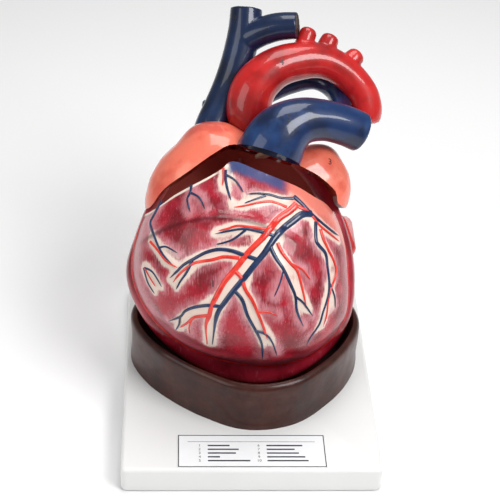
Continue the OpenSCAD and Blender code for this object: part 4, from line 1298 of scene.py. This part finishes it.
for inner_part in (
        ("septum", "heart", flesh, "muscle_wall", 1.4, 8),
        ("valve_wall", "heart", flesh, "chamber_wall", 1.3, 6),
        ("tricuspid_valve", "heart", cream, "valve_cream", 0.55, 4),
        ("mitral_valve", "heart", cream, "valve_cream", 0.55, 4),
        ("right_papillary_muscles", "heart", papillary, "papillary_red", 1.0, 6),
        ("left_papillary_muscles", "heart", papillary, "papillary_red", 1.0, 6),
        ("left_pulmonary_veins", "heart", block_red, "vein_block_red", 1.0, 8),
        ("right_pulmonary_veins", "heart", block_red, "vein_block_red", 0.8, 5),
        ("inferior_vena_cava", "heart", navy, "vein_navy", 0.9, 6),
        ("aortic_valve", "vessels", cream, "valve_cream", 0.5, 4),
        ("pulmonary_valve", "vessels", papillary, "valve_cream", 0.6, 4)):
    softened(*inner_part)

# %% Pins and screws
for node in ("cover_pins", "vessel_pins", "cradle_screws"):
    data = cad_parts[node].data
    data.materials.clear()
    data.materials.append(steel_bright)

# %% [markdown]
# ## The photograph's camera
#
# The camera stands in front, a little to the left, and looks down by 38 degrees. Its place
# and its focal length were fitted to the edges of the plate and the label. A ray through a
# pixel then finds where a painted mark lies on a piece.

# %% Camera
CAM_AT = PLATE + Vector((-0.08199, -1.04607, 1.00338))
YAW, PITCH, ROLL = math.radians(4.293), math.radians(38), math.radians(-3.2105)
FOCAL_PX, PHOTO_PX, SENSOR = 1329.0, 500, 36
ahead = Vector((math.sin(YAW) * math.cos(PITCH), math.cos(YAW) * math.cos(PITCH),
                -math.sin(PITCH)))
flat_right = Vector((math.cos(YAW), -math.sin(YAW), 0))
flat_down = ahead.cross(flat_right)
right_way = flat_right * math.cos(ROLL) + flat_down * math.sin(ROLL)
down_way = flat_down * math.cos(ROLL) - flat_right * math.sin(ROLL)
camera_data = bpy.data.cameras.new("camera")
camera_data.sensor_width = SENSOR
camera_data.lens = FOCAL_PX * SENSOR / PHOTO_PX
camera = bpy.data.objects.new("camera", camera_data)
turn = Matrix((right_way, -down_way, -ahead)).transposed().to_4x4()
camera.matrix_world = Matrix.Translation(CAM_AT) @ turn
bpy.context.scene.collection.objects.link(camera)
bpy.context.scene.camera = camera
print("lens", round(camera_data.lens, 1), "mm")


def under_pixel(obj, px, py):
    """Point of a piece under a pixel of the photograph, and the way out of it there."""
    ray = (ahead + right_way * ((px - PHOTO_PX / 2) / FOCAL_PX)
           + down_way * ((py - PHOTO_PX / 2) / FOCAL_PX))
    skin = bvhtree.BVHTree.FromObject(obj, bpy.context.evaluated_depsgraph_get())
    at, out, _, _ = skin.ray_cast(CAM_AT, ray.normalized())
    return at, out


# %% Numbers on the pieces
NUMBERS = [("1", shell, (213, 284), "cover", "cover_muscle"),
           ("3", left, (330, 162), "vessels", "atrium_salmon"),
           ("4", aorta, (282, 62), "vessels", "artery_red"),
           ("5", trunk, (289, 118), "vessels", "artery_blue"),
           ("9", cava, (235, 19), "vessels", "vein_navy")]
bpy.context.view_layer.update()
for text, carrier, pixel, body, slot in NUMBERS:
    at, out = under_pixel(carrier, *pixel)
    if at is None:
        print("no surface under the pixel of", text)
        continue
    across = (right_way - out * right_way.dot(out)).normalized()
    upright = out.cross(across)
    spin = Matrix((across, upright, out)).transposed().to_4x4()
    mark = numeral(text, 9.5, Matrix.Translation(at) @ spin @ Matrix.Scale(MM, 4), 0.25)
    place(mark, body, label_ink, slot, matrix=Matrix.Identity(4))

# %% [markdown]
# ## Floor and light
#
# A product photograph like this one has a pale floor, one large soft light from the upper
# right and a broad fill from the left. Large lights give the long soft highlights on the
# lacquer.

# %% Studio
bm = bmesh.new()
bmesh.ops.create_grid(bm, x_segments=1, y_segments=1, size=6)
floor = to_object(bm, "Floor")
pale = Paint("floor_white", roughness=0.6)
pale.base(colour(248, 248, 248))
floor.data.materials.append(pale.material)


def area_light(name, at, aim, size, power):
    data = bpy.data.lights.new(name, "AREA")
    data.size, data.energy = size, power
    light = bpy.data.objects.new(name, data)
    way = (Vector(aim) - Vector(at)).normalized()
    light.matrix_world = (Matrix.Translation(at) @ way.to_track_quat("-Z", "Y")
                          .to_matrix().to_4x4())
    bpy.context.scene.collection.objects.link(light)


area_light("key", (0.9, -0.7, 1.5), (0, 0, 0.2), 0.8, 23)
area_light("fill", (-1.3, -0.9, 1.1), (0, 0, 0.2), 1.2, 11)
area_light("top", (0.1, 0.5, 1.7), (0, 0, 0.25), 0.9, 13)
world = bpy.data.worlds.new("studio")
world.use_nodes = True
world.node_tree.nodes["Background"].inputs[0].default_value = (1, 1, 1, 1)
world.node_tree.nodes["Background"].inputs[1].default_value = 0.24
bpy.context.scene.world = world
bpy.context.scene.view_settings.view_transform = "Standard"
